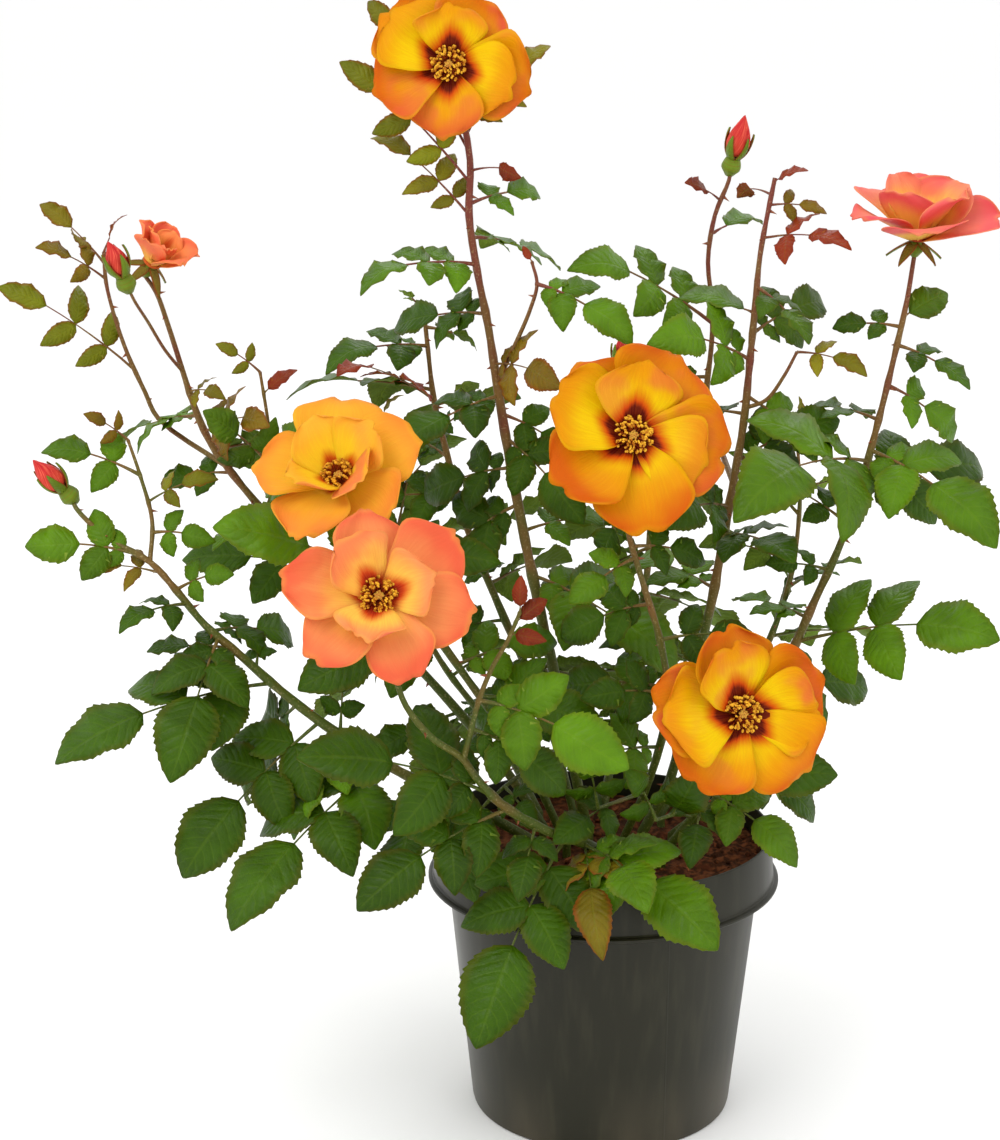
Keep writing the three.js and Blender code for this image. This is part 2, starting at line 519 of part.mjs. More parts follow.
// A compound leaf: its rib, and its leaflets as [foot, way, upper side's normal, length], the end one first
function leafPlan(start, tip, leaflets, size, roll, seed) {
  const span = tip.clone().sub(start);
  const reach = span.length();
  const share = Math.max(RIB_SHARE[leaflets], 1 - size / reach);
  const light = lightAt(tip);
  const joint = start.clone().addScaledVector(span, share).addScaledVector(UP, RACHIS.lift * reach * share);
  const bend = start.clone().lerp(joint, 0.5).addScaledVector(UP, RACHIS.lift * reach * 0.5 * share);
  const rib = new THREE.QuadraticBezierCurve3(start, bend, joint);
  const frame = (way, tilt) => light.clone().addScaledVector(way, -light.dot(way)).normalize()
    .applyAxisAngle(way, THREE.MathUtils.degToRad(tilt));
  const way = tip.clone().sub(joint);
  const length = way.length();
  way.normalize();
  const plan = [[joint, way, frame(way, roll), length]];
  const spots = RIB_SPOTS[leaflets];
  spots.forEach((spot, pair) => {
    for (const hand of [1, -1]) {
      const mark = seed * 7 + pair * 2 + hand;
      const run = rib.getTangent(spot).normalize();
      const normal = frame(run, roll);
      const angle = RACHIS.spread + RACHIS.uneven * (draw(mark) - 0.5);
      const out = run.clone().applyAxisAngle(normal, THREE.MathUtils.degToRad(angle * hand));
      out.addScaledVector(UP, -PAIRS.droop - PAIRS.uneven * draw(mark + 3)).normalize();
      const flat = normal.clone().addScaledVector(out, -normal.dot(out)).normalize();
      const room = PAIRS.room * reach * share * ((spots[pair + 1] ?? 1) - spot);
      const part = pair === spots.length - 1 ? PAIRS.upper : PAIRS.lower;
      const wanted = length * part * (1 + PAIRS.uneven * (draw(mark + 5) - 0.5));
      plan.push([rib.getPoint(spot), out, flat, Math.min(room, wanted)]);
    }
  });
  return { rib, plan, spots };
}

// The whole leaf as one thin body: a rib with a leaflet let into its edge at each side of every node
function leafSolid({ rib, plan, spots }, look) {
  const points = [];
  const normals = [];
  const faces = [];
  const add = (at, normal) => {
    points.push(at);
    normals.push(normal ?? null);
    return points.length - 1;
  };
  const face = (hand, a, b, c) => faces.push(hand > 0 ? [a, b, c] : [a, c, b]);
  const thick = RACHIS.thickness / LEAFLET.thickness;
  const flatAt = (share) => {
    const run = rib.getTangent(share).normalize();
    const normal = plan[0][2].clone().addScaledVector(run, -plan[0][2].dot(run)).normalize();
    return [rib.getPoint(share), run, normal, new Vector3().crossVectors(normal, run)];
  };
  // The toothed edge of one side of a leaflet, on the stem's side of it or, flipped, on the other
  const edge = (hand, leaf, teeth, flip) => {
    const [foot, way, normal, length] = leaf;
    const side = new Vector3().crossVectors(normal, way).multiplyScalar(hand * flip);
    const width = (look > 2 ? LEAFLET.youngHalfWidth : LEAFLET.halfWidth) * length;
    return teeth.map(([share, across]) => {
      const rise = LEAFLET.arch * length * 4 * share * (1 - share) + across * width * LEAFLET.fold;
      const at = foot.clone().addScaledVector(way, share * length).addScaledVector(side, across * width);
      return add(at.addScaledVector(normal, rise));
    });
  };
  const middle = ([foot, way, normal, length], share) => {
    const rise = LEAFLET.arch * length * 4 * share * (1 - share);
    return add(foot.clone().addScaledVector(way, share * length).addScaledVector(normal, rise), normal);
  };
  const [rootAt, rootRun, rootNormal, rootSide] = flatAt(0);
  const behind = rootAt.clone().addScaledVector(rootRun, -0.5);
  const core = add(rootAt.clone().addScaledVector(rootRun, 0.6), rootNormal.clone().multiplyScalar(thick));
  const lasts = {};
  for (const hand of [1, -1]) {
    lasts[hand] = add(behind.clone().addScaledVector(rootSide, hand * RACHIS.halfWidth));
  }
  faces.push([core, lasts[1], lasts[-1]]);
  let center = core;
  const strip = (hand, next, point) => {
    face(hand, center, next, point);
    face(hand, center, point, lasts[hand]);
  };
  spots.forEach((spot, pair) => {
    const [at, run, normal, side] = flatAt(spot);
    const next = add(at, normal.clone().multiplyScalar(thick));
    const stations = {};
    for (const hand of [1, -1]) {
      const rim = at.clone().addScaledVector(side, hand * RACHIS.halfWidth);
      stations[hand] = [-RACHIS.node, RACHIS.node].map((step) => add(rim.clone().addScaledVector(run, step)));
      strip(hand, next, stations[hand][0]);
    }
    for (const hand of [1, -1]) {
      const leaf = plan[1 + pair * 2 + (hand > 0 ? 0 : 1)];
      const teeth = teethFor(leaf[3], false);
      const mid = middle(leaf, 0.34);
      const before = edge(hand, leaf, teeth, 1);
      const tip = edge(hand, leaf, [[1, 0]], 1);
      const after = edge(hand, leaf, [...teeth].reverse(), -1);
      const chain = [stations[hand][0], ...before, ...tip, ...after, stations[hand][1]];
      face(hand, next, mid, chain[0]);
      face(hand, next, chain.at(-1), mid);
      for (let i = 0; i + 1 < chain.length; i += 1) {
        face(hand, chain[i], mid, chain[i + 1]);
      }
      lasts[hand] = stations[hand][1];
    }
    center = next;
  });
  let joint = center;
  if (plan[0][3] >= LENGTHS.plain) {
    const [endAt, , endNormal, endSide] = flatAt(1);
    joint = add(endAt, endNormal.clone().multiplyScalar(thick));
    for (const hand of [1, -1]) {
      const rim = add(endAt.clone().addScaledVector(endSide, hand * RACHIS.halfWidth));
      strip(hand, joint, rim);
      lasts[hand] = rim;
    }
  }
  const teeth = teethFor(plan[0][3], true);
  const near = middle(plan[0], 0.22);
  const far = plan[0][3] >= LENGTHS.plain ? middle(plan[0], 0.6) : near;
  const tip = edge(1, plan[0], [[1, 0]], 1)[0];
  for (const hand of [1, -1]) {
    const chain = [lasts[hand], ...edge(hand, plan[0], teeth, 1), tip];
    face(hand, joint, near, chain[0]);
    const turn = chain.length - 3;
    for (let i = 0; i + 1 < chain.length; i += 1) {
      face(hand, chain[i], i < turn ? near : far, chain[i + 1]);
      if (i + 1 === turn && far !== near) {
        face(hand, near, far, chain[turn]);
      }
    }
  }
  return blade(points, faces, normals, LEAFLET.thickness);
}

// One petal: a cupped blade that rises from its claw at one angle and ends at another
function petal(center, facing, turn, ring, reach, seed, columns) {
  const [, long, wide, rise, edge] = ring;
  const first = Math.abs(facing.z) > 0.9 ? new Vector3(0, -1, 0) : new Vector3(0, 0, 1);
  const zero = first.addScaledVector(facing, -first.dot(facing)).normalize();
  const out = zero.applyAxisAngle(facing, THREE.MathUtils.degToRad(turn));
  const side = new Vector3().crossVectors(facing, out);
  const rows = PETAL_WIDTHS.length - 1;
  const step = (reach * long - PETAL.start) / rows;
  const lean = Math.sin(THREE.MathUtils.degToRad(PETAL.pinwheel));
  const points = [];
  const normals = [];
  const nod = PETAL.nod * Math.cos(THREE.MathUtils.degToRad(rise)) * (draw(seed + 5) - 0.5);
  let run = PETAL.start;
  let height = 0;
  for (let i = 0; i <= rows; i += 1) {
    const angle = THREE.MathUtils.degToRad(rise + nod + ((edge - rise) * i) / rows);
    if (i > 0) {
      run += Math.cos(angle) * step;
      height += Math.sin(angle) * step;
    }
    const normal = facing.clone().multiplyScalar(Math.cos(angle)).addScaledVector(out, -Math.sin(angle));
    const half = PETAL_WIDTHS[i] * wide * reach;
    for (let j = 0; j <= columns; j += 1) {
      const w = (2 * j) / columns - 1;
      const round = PETAL.round * w * w + (w === 0 ? PETAL.notch : 0);
      const back = i === rows ? reach * round : 0;
      const ruffle = i === rows ? PETAL.ruffle * (draw(seed + j) - 0.6) : 0;
      const cup = half * w * (PETAL.cup * w + lean) + ruffle;
      const at = center.clone().addScaledVector(out, run - back).addScaledVector(side, half * w);
      points.push(at.addScaledVector(facing, height).addScaledVector(normal, cup));
      const inner = i > 0 && i < rows && j > 0 && j < columns;
      normals.push(inner ? normal : null);
    }
  }
  const faces = [];
  const index = (i, j) => i * (columns + 1) + j;
  for (let i = 0; i < rows; i += 1) {
    for (let j = 0; j < columns; j += 1) {
      const [a, b, c, d] = [index(i, j), index(i, j + 1), index(i + 1, j + 1), index(i + 1, j)];
      const leaning = j * 2 < columns;
      faces.push(...(leaning ? [[a, c, b], [a, d, c]] : [[a, d, b], [b, d, c]]));
    }
  }
  return blade(points, faces, normals, PETAL.thickness);
}

// A turned piece that stands on a point and faces a way
function stand(geometry, at, facing) {
  const turn = new THREE.Quaternion().setFromUnitVectors(UP, facing);
  geometry.applyMatrix4(new THREE.Matrix4().compose(at, turn, new Vector3(1, 1, 1)));
  return solidFrom(geometry);
}

function turned(profile, sides) {
  const outline = profile.map(([r, z]) => new THREE.Vector2(r, z));
  return new THREE.LatheGeometry(outline, sides).rotateX(Math.PI / 2);
}

// Which column of a turned piece a point belongs to
function columnOf(x, y, columns) {
  const share = Math.atan2(x, -y) / (2 * Math.PI);
  return (Math.round(share * columns) + columns) % columns;
}

function bloomPetals(bloom, seed) {
  const center = place(bloom.at);
  const facing = heading(bloom.faces);
  const half = PETAL.hubDepth / 2;
  const hub = turned([[0, -half], [PETAL.hub, -half], [PETAL.hub, half], [0, half]], 8);
  const parts = [stand(hub, center, facing)];
  bloom.rings.forEach((ring, r) => {
    const level = center.clone().addScaledVector(facing, r ? 0.25 : -0.25);
    for (let i = 0; i < ring[0]; i += 1) {
      const mark = seed * 40 + r * 10 + i;
      const turn = ring[5] + (360 * i) / ring[0] + PETAL.stray * (draw(mark) - 0.5);
      const reach = bloom.reach * (0.9 + PETAL.uneven * draw(mark + 7));
      const columns = r === 0 && ring[3] <= PETAL.flat ? 4 : 3;
      parts.push(petal(level, facing, turn, ring, reach, mark, columns));
    }
  });
  return Manifold.union(parts).asOriginal().simplify(MERGE);
}

// The stamens: a crown whose rim is drawn out into one point for each group of anthers
function bloomStamens(bloom, scale) {
  const center = place(bloom.at).addScaledVector(heading(bloom.faces), PETAL.hubDepth / 2 + GAP);
  const columns = STAMEN.count * 2;
  const crown = turned([[0, 0], [STAMEN.foot * scale, 0], [1, 1], [STAMEN.foot * 0.6 * scale, STAMEN.center],
    [0, STAMEN.center + 0.6]], columns);
  const position = crown.attributes.position;
  for (let i = 0; i < position.count; i += 1) {
    const [x, y, z] = [position.getX(i), position.getY(i), position.getZ(i)];
    if (Math.abs(z - 1) > 1e-3 || Math.abs(Math.hypot(x, y) - 1) > 1e-3) {
      continue;
    }
    const column = columnOf(x, y, columns);
    const point = column % 2 === 0;
    const reach = point ? STAMEN.reach * (0.84 + 0.16 * draw(column + 2)) : STAMEN.valley;
    position.setXYZ(i, x * reach * scale, y * reach * scale, point ? STAMEN.rise : STAMEN.valleyRise);
  }
  return stand(crown, center, heading(bloom.faces));
}

// The hip, whose rim is drawn out into five sepals, under a flower or bud whose underside stands GAP above it
function calyx(seat, facing, lift, long, swell) {
  const radius = HIP.radius * swell;
  const { length } = HIP;
  const profile = [[0, -length], [radius * 0.5, -length * 0.93], [radius, -length * 0.6],
    [radius * 0.8, -2.4], [1, 1], [radius * 0.56, 0], [0, 0]];
  const columns = SEPAL.count * 2;
  const shape = turned(profile, columns);
  const position = shape.attributes.position;
  const angle = THREE.MathUtils.degToRad(lift);
  for (let i = 0; i < position.count; i += 1) {
    const [x, y, z] = [position.getX(i), position.getY(i), position.getZ(i)];
    if (Math.abs(z - 1) < 1e-3) {
      const column = columnOf(x, y, columns);
      const reach = column % 2 ? radius * 0.62 : long * (0.85 + SEPAL.uneven * draw(column + 3));
      position.setXYZ(i, x * reach, y * reach, column % 2 ? -1.3 : reach * Math.tan(angle) - 1.3);
    }
  }
  return stand(shape, seat, facing);
}

// A bud: its outer petals wrap round it, so each one's edge stands out from the next along a rising spiral
function budSolid(bud) {
  const { long, radius } = bud;
  const columns = 9;
  const shape = turned([[0, 0], [radius * 0.28, 0], [radius * 0.95, long * 0.28], [radius * 0.9, long * 0.52],
    [radius * 0.5, long * 0.82], [0, long]], columns);
  const position = shape.attributes.position;
  for (let i = 0; i < position.count; i += 1) {
    const [x, y, z] = [position.getX(i), position.getY(i), position.getZ(i)];
    const column = columnOf(x, y, columns);
    const swell = 1 - 0.24 * (column % 3) / 2;
    const spot = new Vector3(x * swell, y * swell, z).applyAxisAngle(UP, (z / long) * 1.3);
    position.setXYZ(i, spot.x, spot.y, spot.z);
  }
  return stand(shape, place(bud.at), heading(bud.faces));
}

function potSolid() {
  const { height, wall, floor, baseRadius, bodyTopRadius, collarFootRadius, collarTopRadius } = POT;
  const { lipRadius, lipLevel, lipThickness } = POT;
  const under = lipLevel - lipThickness;
  const profile = [[0, 0], [baseRadius - 2, 0], [baseRadius, 3], [bodyTopRadius, under], [lipRadius, under],
    [lipRadius, lipLevel], [collarFootRadius, lipLevel + 0.4], [collarTopRadius, height],
    [collarTopRadius - wall, height], [collarFootRadius - wall, lipLevel + 0.4],
    [bodyTopRadius - wall, lipLevel], [baseRadius - wall, floor + 1], [baseRadius - wall - 2, floor],
    [0, floor]];
  const holes = [];
  for (let i = 0; i < POT.drainHoles; i += 1) {
    const turn = (2 * Math.PI * i) / POT.drainHoles - Math.PI / 2;
    const hole = new THREE.CylinderGeometry(POT.drainRadius, POT.drainRadius, 14, 6).rotateX(Math.PI / 2);
    hole.translate(POT.drainCircle * Math.cos(turn), POT.drainCircle * Math.sin(turn), 0);
    holes.push(solidFrom(hole));
  }
  return solidFrom(turned(profile, POT.sides)).subtract(Manifold.union(holes)).asOriginal().simplify(MERGE);
}

// Soil fills the pot up to a lumpy surface, with a plain hole for each cane
function soilSolid() {
  const { wall, floor, baseRadius, bodyTopRadius, collarFootRadius, lipLevel } = POT;
  const edge = wall + GAP + 0.4;
  const inside = (z) => baseRadius + ((bodyTopRadius - baseRadius) * z) / lipLevel - edge;
  const top = collarFootRadius - edge - 0.6;
  const profile = [[0, floor + GAP], [baseRadius - edge - 2.4, floor + GAP], [inside(floor + 2), floor + 2],
    [inside(lipLevel - 1), lipLevel - 1], [inside(lipLevel - 1), lipLevel + GAP + 0.3], [top, lipLevel + 2],
    [top, SOIL.level]];
  for (let ring = SOIL.rings - 1; ring > 0; ring -= 1) {
    profile.push([(top * ring) / SOIL.rings, SOIL.level]);
  }
  profile.push([0, SOIL.level]);
  const geometry = turned(profile, POT.sides);
  const position = geometry.attributes.position;
  for (let i = 0; i < position.count; i += 1) {
    const [x, y, z] = [position.getX(i), position.getY(i), position.getZ(i)];
    if (z > SOIL.level - 0.01) {
      const lump = Math.sin(x * 0.19 + 1) * Math.cos(y * 0.23) + 0.4 * Math.sin(x * 0.5 + y * 0.4);
      position.setZ(i, z + SOIL.lump * lump);
    }
  }
  const holes = SHOOTS.filter((shoot) => shoot.foot).map((shoot) => {
    const radius = shoot.thick[0] + STEM.holeSlack;
    const hole = new THREE.CylinderGeometry(radius, radius, STEM.holeDepth * 2, STEM.sides);
    hole.rotateX(Math.PI / 2).translate(shoot.foot[0], shoot.foot[1], SOIL.level);
    return solidFrom(hole);
  });
  return solidFrom(geometry).subtract(Manifold.union(holes)).asOriginal().simplify(MERGE);
}

// A shoot swings back towards its top, and its leaves spread before and behind it
function settled(shoot) {
  const { swing, spread, route, leaves } = shoot;
  const swungBy = (step) => swing * (shoot.parent ? 1 : Math.min(1, step / route.length) ** SWING_BEND);
  const moved = ([across, down, back], by) => [across, down, back + by];
  return {
    ...shoot,
    route: route.map((spot, i) => moved(spot, swungBy(i + 1))),
    leaves: leaves.map(([from, spot, ...rest], i) => {
      const sway = spread * SWAY[(i + 1) % SWAY.length];
      return [from, moved(spot, swungBy(from) + sway), ...rest];
    }),
  };
}

// How many straight runs a shoot is bent in, and a place on them counted in route steps
function stepsOf(curve) {
  const spans = curve.points.length - 1;
  return spans < 6 ? spans * 2 : spans;
}

function spotOn(curve, from) {
  const steps = stepsOf(curve);
  const at = Math.min(1, from / (curve.points.length - 1)) * steps;
  const low = Math.min(steps - 1, Math.floor(at));
  return curve.getPoint(low / steps).lerp(curve.getPoint((low + 1) / steps), at - low);
}

// Every shoot's curve, from its foot or its parent to the foot of its flower
function shootCurve(shoot, curves) {
  const points = [];
  if (shoot.parent) {
    const parent = curves[shoot.parent];
    points.push(spotOn(parent, shoot.from));
  } else {
    points.push(new Vector3(...shoot.foot, SOIL.level + STEM.stump - 2));
  }
  points.push(...shoot.route.map(place));
  const flower = BLOOMS[shoot.bloom] ?? BUDS[shoot.bud];
  if (flower) {
    const under = HIP.length + GAP + (shoot.bloom ? PETAL.hubDepth / 2 : 0);
    points.push(place(flower.at).addScaledVector(heading(flower.faces), -under + 1));
  }
  return new THREE.CatmullRomCurve3(points);
}

function stemParts(shoot, curve) {
  const steps = stepsOf(curve);
  const [from, to] = shoot.thick;
  const parts = [bar(curve, steps, shoot.foot ? STEM.sides : STEM.sides - 1, from, to)];
  if (shoot.foot) {
    const [x, y] = shoot.foot;
    const bottom = new Vector3(x, y, SOIL.level - STEM.holeDepth + GAP);
    const top = new Vector3(x, y, SOIL.level + STEM.stump);
    parts.push(bar(new THREE.LineCurve3(bottom, top), 1, STEM.sides, from, from));
  }
  const count = Math.floor(curve.getLength() / PRICKLE.spacing);
  for (let i = 1; i < count; i += 1) {
    const share = i / count;
    const at = spotOn(curve, share * (curve.points.length - 1));
    const along = curve.getTangent(share);
    const out = new Vector3(0.3, 0.2, 1).cross(along).normalize().applyAxisAngle(along, i * 2.4);
    const thick = from + (to - from) * share;
    const tip = at.clone().addScaledVector(out, thick + PRICKLE.length * 0.7).addScaledVector(UP, -1);
    parts.push(bar(new THREE.LineCurve3(at, tip), 1, 3, Math.min(PRICKLE.radius, thick), 0.15));
  }
  if (shoot.bloom) {
    const bloom = BLOOMS[shoot.bloom];
    const facing = heading(bloom.faces);
    const seat = place(bloom.at).addScaledVector(facing, -PETAL.hubDepth / 2 - GAP);
    parts.push(calyx(seat, facing, SEPAL.open, SEPAL.length, 1));
  }
  if (shoot.bud) {
    const bud = BUDS[shoot.bud];
    const facing = heading(bud.faces);
    const seat = place(bud.at).addScaledVector(facing, -GAP);
    parts.push(calyx(seat, facing, SEPAL.closed, SEPAL.length * SEPAL.young, HIP.budSwell));
  }
  return parts;
}

// A bloom's largest crown of stamens that stays clear of its petals
function fittedStamens(bloom, petals) {
  const crowns = STAMEN.scales.map((scale) => bloomStamens(bloom, scale));
  return crowns.find((crown) => crown.minGap(petals, 1) >= STAMEN.clear) ?? crowns.at(-1);
}

function ownerOf(shoot) {
  return shoot.parent ? ownerOf(SHOOTS.find((other) => other.name === shoot.parent)) : shoot.name;
}

const solids = new Map();
solids.set('pot', potSolid());
solids.set('soil', soilSolid());
Object.entries(BLOOMS).forEach(([name, bloom], index) => {
  const petals = bloomPetals(bloom, index + 1);
  solids.set(`bloom_${name}`, petals);
  solids.set(`stamens_${name}`, fittedStamens(bloom, petals));
});
for (const [name, bud] of Object.entries(BUDS)) {
  solids.set(name, budSolid(bud));
}

const curves = {};
const canes = {};
let leafNumber = 0;
for (const shoot of SHOOTS.map(settled)) {
  const curve = shootCurve(shoot, curves);
  curves[shoot.name] = curve;
  const parts = stemParts(shoot, curve);
  for (const [from, spot, leaflets, size, roll, look] of shoot.leaves) {
    leafNumber += 1;
    const plan = leafPlan(spotOn(curve, from), place(spot), leaflets, size, roll, leafNumber);
    parts.push(leafSolid(plan, look));
  }
  const owner = ownerOf(shoot);
  canes[owner] = [...(canes[owner] ?? []), ...parts];
}
for (const [owner, parts] of Object.entries(canes)) {
  solids.set(owner, Manifold.union(parts).asOriginal().simplify(MERGE));
}

function paintOf(name) {
  if (name === 'pot') {
    return PAINTS.plastic;
  }
  if (name === 'soil') {
    return PAINTS.soil;
  }
  if (name.startsWith('bloom_')) {
    return PAINTS[BLOOMS[name.slice(6)].tone];
  }
  if (name.startsWith('stamens_')) {
    return PAINTS.anther;
  }
  return name.startsWith('bud_') ? PAINTS.bud : PAINTS.leaf;
}

const plant = new THREE.Group();
for (const [name, solid] of solids) {
  const { vertProperties, triVerts } = solid.getMesh();
  const geometry = new THREE.BufferGeometry();
  geometry.setAttribute('position', new THREE.BufferAttribute(vertProperties, 3));
  geometry.setIndex(new THREE.BufferAttribute(triVerts, 1));
  geometry.computeVertexNormals();
  const mesh = new THREE.Mesh(geometry, new THREE.MeshStandardMaterial(paintOf(name)));
  mesh.name = name;
  plant.add(mesh);
}

export default plant;
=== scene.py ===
import json
import math
from functools import partialmethod

import bpy
from mathutils import Matrix, Quaternion, Vector, noise

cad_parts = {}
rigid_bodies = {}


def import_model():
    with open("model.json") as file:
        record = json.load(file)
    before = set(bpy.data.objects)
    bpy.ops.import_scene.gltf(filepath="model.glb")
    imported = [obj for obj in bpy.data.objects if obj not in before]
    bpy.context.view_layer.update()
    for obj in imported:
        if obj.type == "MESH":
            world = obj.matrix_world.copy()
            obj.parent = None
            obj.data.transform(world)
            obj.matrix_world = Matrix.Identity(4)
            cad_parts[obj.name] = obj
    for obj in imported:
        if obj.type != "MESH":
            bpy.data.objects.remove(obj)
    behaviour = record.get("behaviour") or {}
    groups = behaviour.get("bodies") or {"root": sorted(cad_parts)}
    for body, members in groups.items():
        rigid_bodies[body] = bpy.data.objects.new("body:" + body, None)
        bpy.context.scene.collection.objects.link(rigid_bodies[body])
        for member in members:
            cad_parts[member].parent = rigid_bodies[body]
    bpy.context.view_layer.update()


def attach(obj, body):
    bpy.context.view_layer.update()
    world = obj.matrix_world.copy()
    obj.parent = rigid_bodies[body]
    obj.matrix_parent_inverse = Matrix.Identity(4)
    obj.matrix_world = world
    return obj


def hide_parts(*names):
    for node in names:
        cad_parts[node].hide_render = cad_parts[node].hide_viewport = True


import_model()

# Sizes in millimetres, as the solids have them
MM = 0.001
UP = Vector((0, 0, 1))
GAP = 0.3
GOLDEN_TURN = 2.39996
POT = {
    "height": 157, "wall": 1.7, "floor": 2.4, "base_radius": 71.2, "body_top_radius": 84.2,
    "collar_foot_radius": 92.4, "collar_top_radius": 90.7, "lip_radius": 95, "lip_level": 131.5,
    "lip_thickness": 2.2, "sides": 96, "drain_holes": 6, "drain_radius": 4.5, "drain_circle": 66,
}
SOIL = {"level": 143, "lump": 1.4, "rings": 22, "sides": 72, "crumbs": 240, "chips": 90}
STEM = {"hole_depth": 12, "stump": 8, "samples": 4, "node_swell": 0.28}
# A leaflet's shape for a length of one; each tooth leans forward by a share of its step
LEAFLET = {
    "half_width": 0.35, "young_half_width": 0.26, "arch": 0.07, "fold": 0.0448, "thickness": 0.45 / 42,
    "lean": 0.3, "tooth": 1.01, "notch": 0.95, "spur": 0.016, "foot": 0.035, "tip": 0.004,
}
# A leaflet at least this long gets the finer teeth
LARGE = 30
# How each pair of leaflets stands along the rib, and its share of the end leaflet's length
RIB_PAIRS = {1: [], 3: [(0.52, 0.86)], 5: [(0.32, 0.74), (0.67, 0.86)]}
LOWEST_PAIR = {"pair": (0.25, 0.6), "least_reach": 56}
PAIRS = {"uneven": 0.12, "room": 1.55, "droop": 0.1}
RACHIS = {"lift": 0.13, "spread": 62, "uneven": 10, "foot": 1.15, "end": 0.5, "pieces": 6}
RIB_SHARE = {1: 0.14, 3: 0.5, 5: 0.6}
LIGHT = {"front": (0.45, 0.75), "back": (0.8, 0), "up": 0.62, "border": 60}
HIP = {"radius": 4.2, "length": 9, "bud_swell": 1.25}
# The hip's outline below its waist, in shares of its radius and length
HIP_PROFILE = [(0, 1), (0.42, 0.97), (0.62, 0.84), (0.97, 0.62), (1, 0.5), (0.9, 0.3)]
SEPAL = {
    "count": 5, "length": 17, "uneven": 0.15, "stray": 20, "lift_stray": 10, "open": -30, "closed": 74,
    "young": 1.02, "belly": 0.13, "droop": 0.12, "width": 0.17, "keel": 0.05, "thickness": 0.03,
}
PETAL = {
    "hub_depth": 1.6, "start": 3, "pinwheel": 11, "cup": 0.16, "round": 0.072, "notch": 0.05, "ruffle": 3.04,
    "uneven": 0.18, "nod": 4, "stray": 20, "rows": 16, "columns": 12, "thickness": 0.5, "layer": 0.25,
    "curl": 8, "curl_range": 34, "curl_from": 0.7, "pull": 0.35, "wave": 0.025, "ripple": 0.6,
}
PETAL_WIDTHS = [0.16, 0.56, 0.78, 0.51]
STAMEN = {"reach": 10, "rise": 7, "count": 84, "styles": 16, "foot": 1.9, "full_bloom": 49, "young": 0.7}
BUD = {"girth": [0.28, 0.8, 0.98, 0.96, 0.84, 0.62, 0.34, 0.04], "turn": 1.3, "laps": 3}
# The dark eye of a flower, and the red glow past it, in millimetres from the flower's centre
EYE = {"radius": 8.5, "spike": 5, "rag": 4, "soft": 1.8, "glow": 9}
SIDE_VEINS = 8
# How far right of the pot's middle its mould line runs, and how wide it is, in metres
MOULD_LINE = (0.031, 0.0006)
PRICKLE = {"length": 5, "radius": 1.3, "spacing": 30, "least": 0.55, "uneven": 0.3, "hook": 0.25}
SWAY = [1, -0.5, 0.6, -1, 0.2, 0.9, -0.7]
SWING_BEND = 1.3

# The photograph's sight lines, 1000 by 1140 pixels: where its eye stands, and its lens in pixels
SIGHT = {
    "across": 500, "down": 570, "focal": 2400, "width": 1000, "eye": (-56, -1222.6, 622.1), "pitch": 14.74,
}
SENSOR = 36

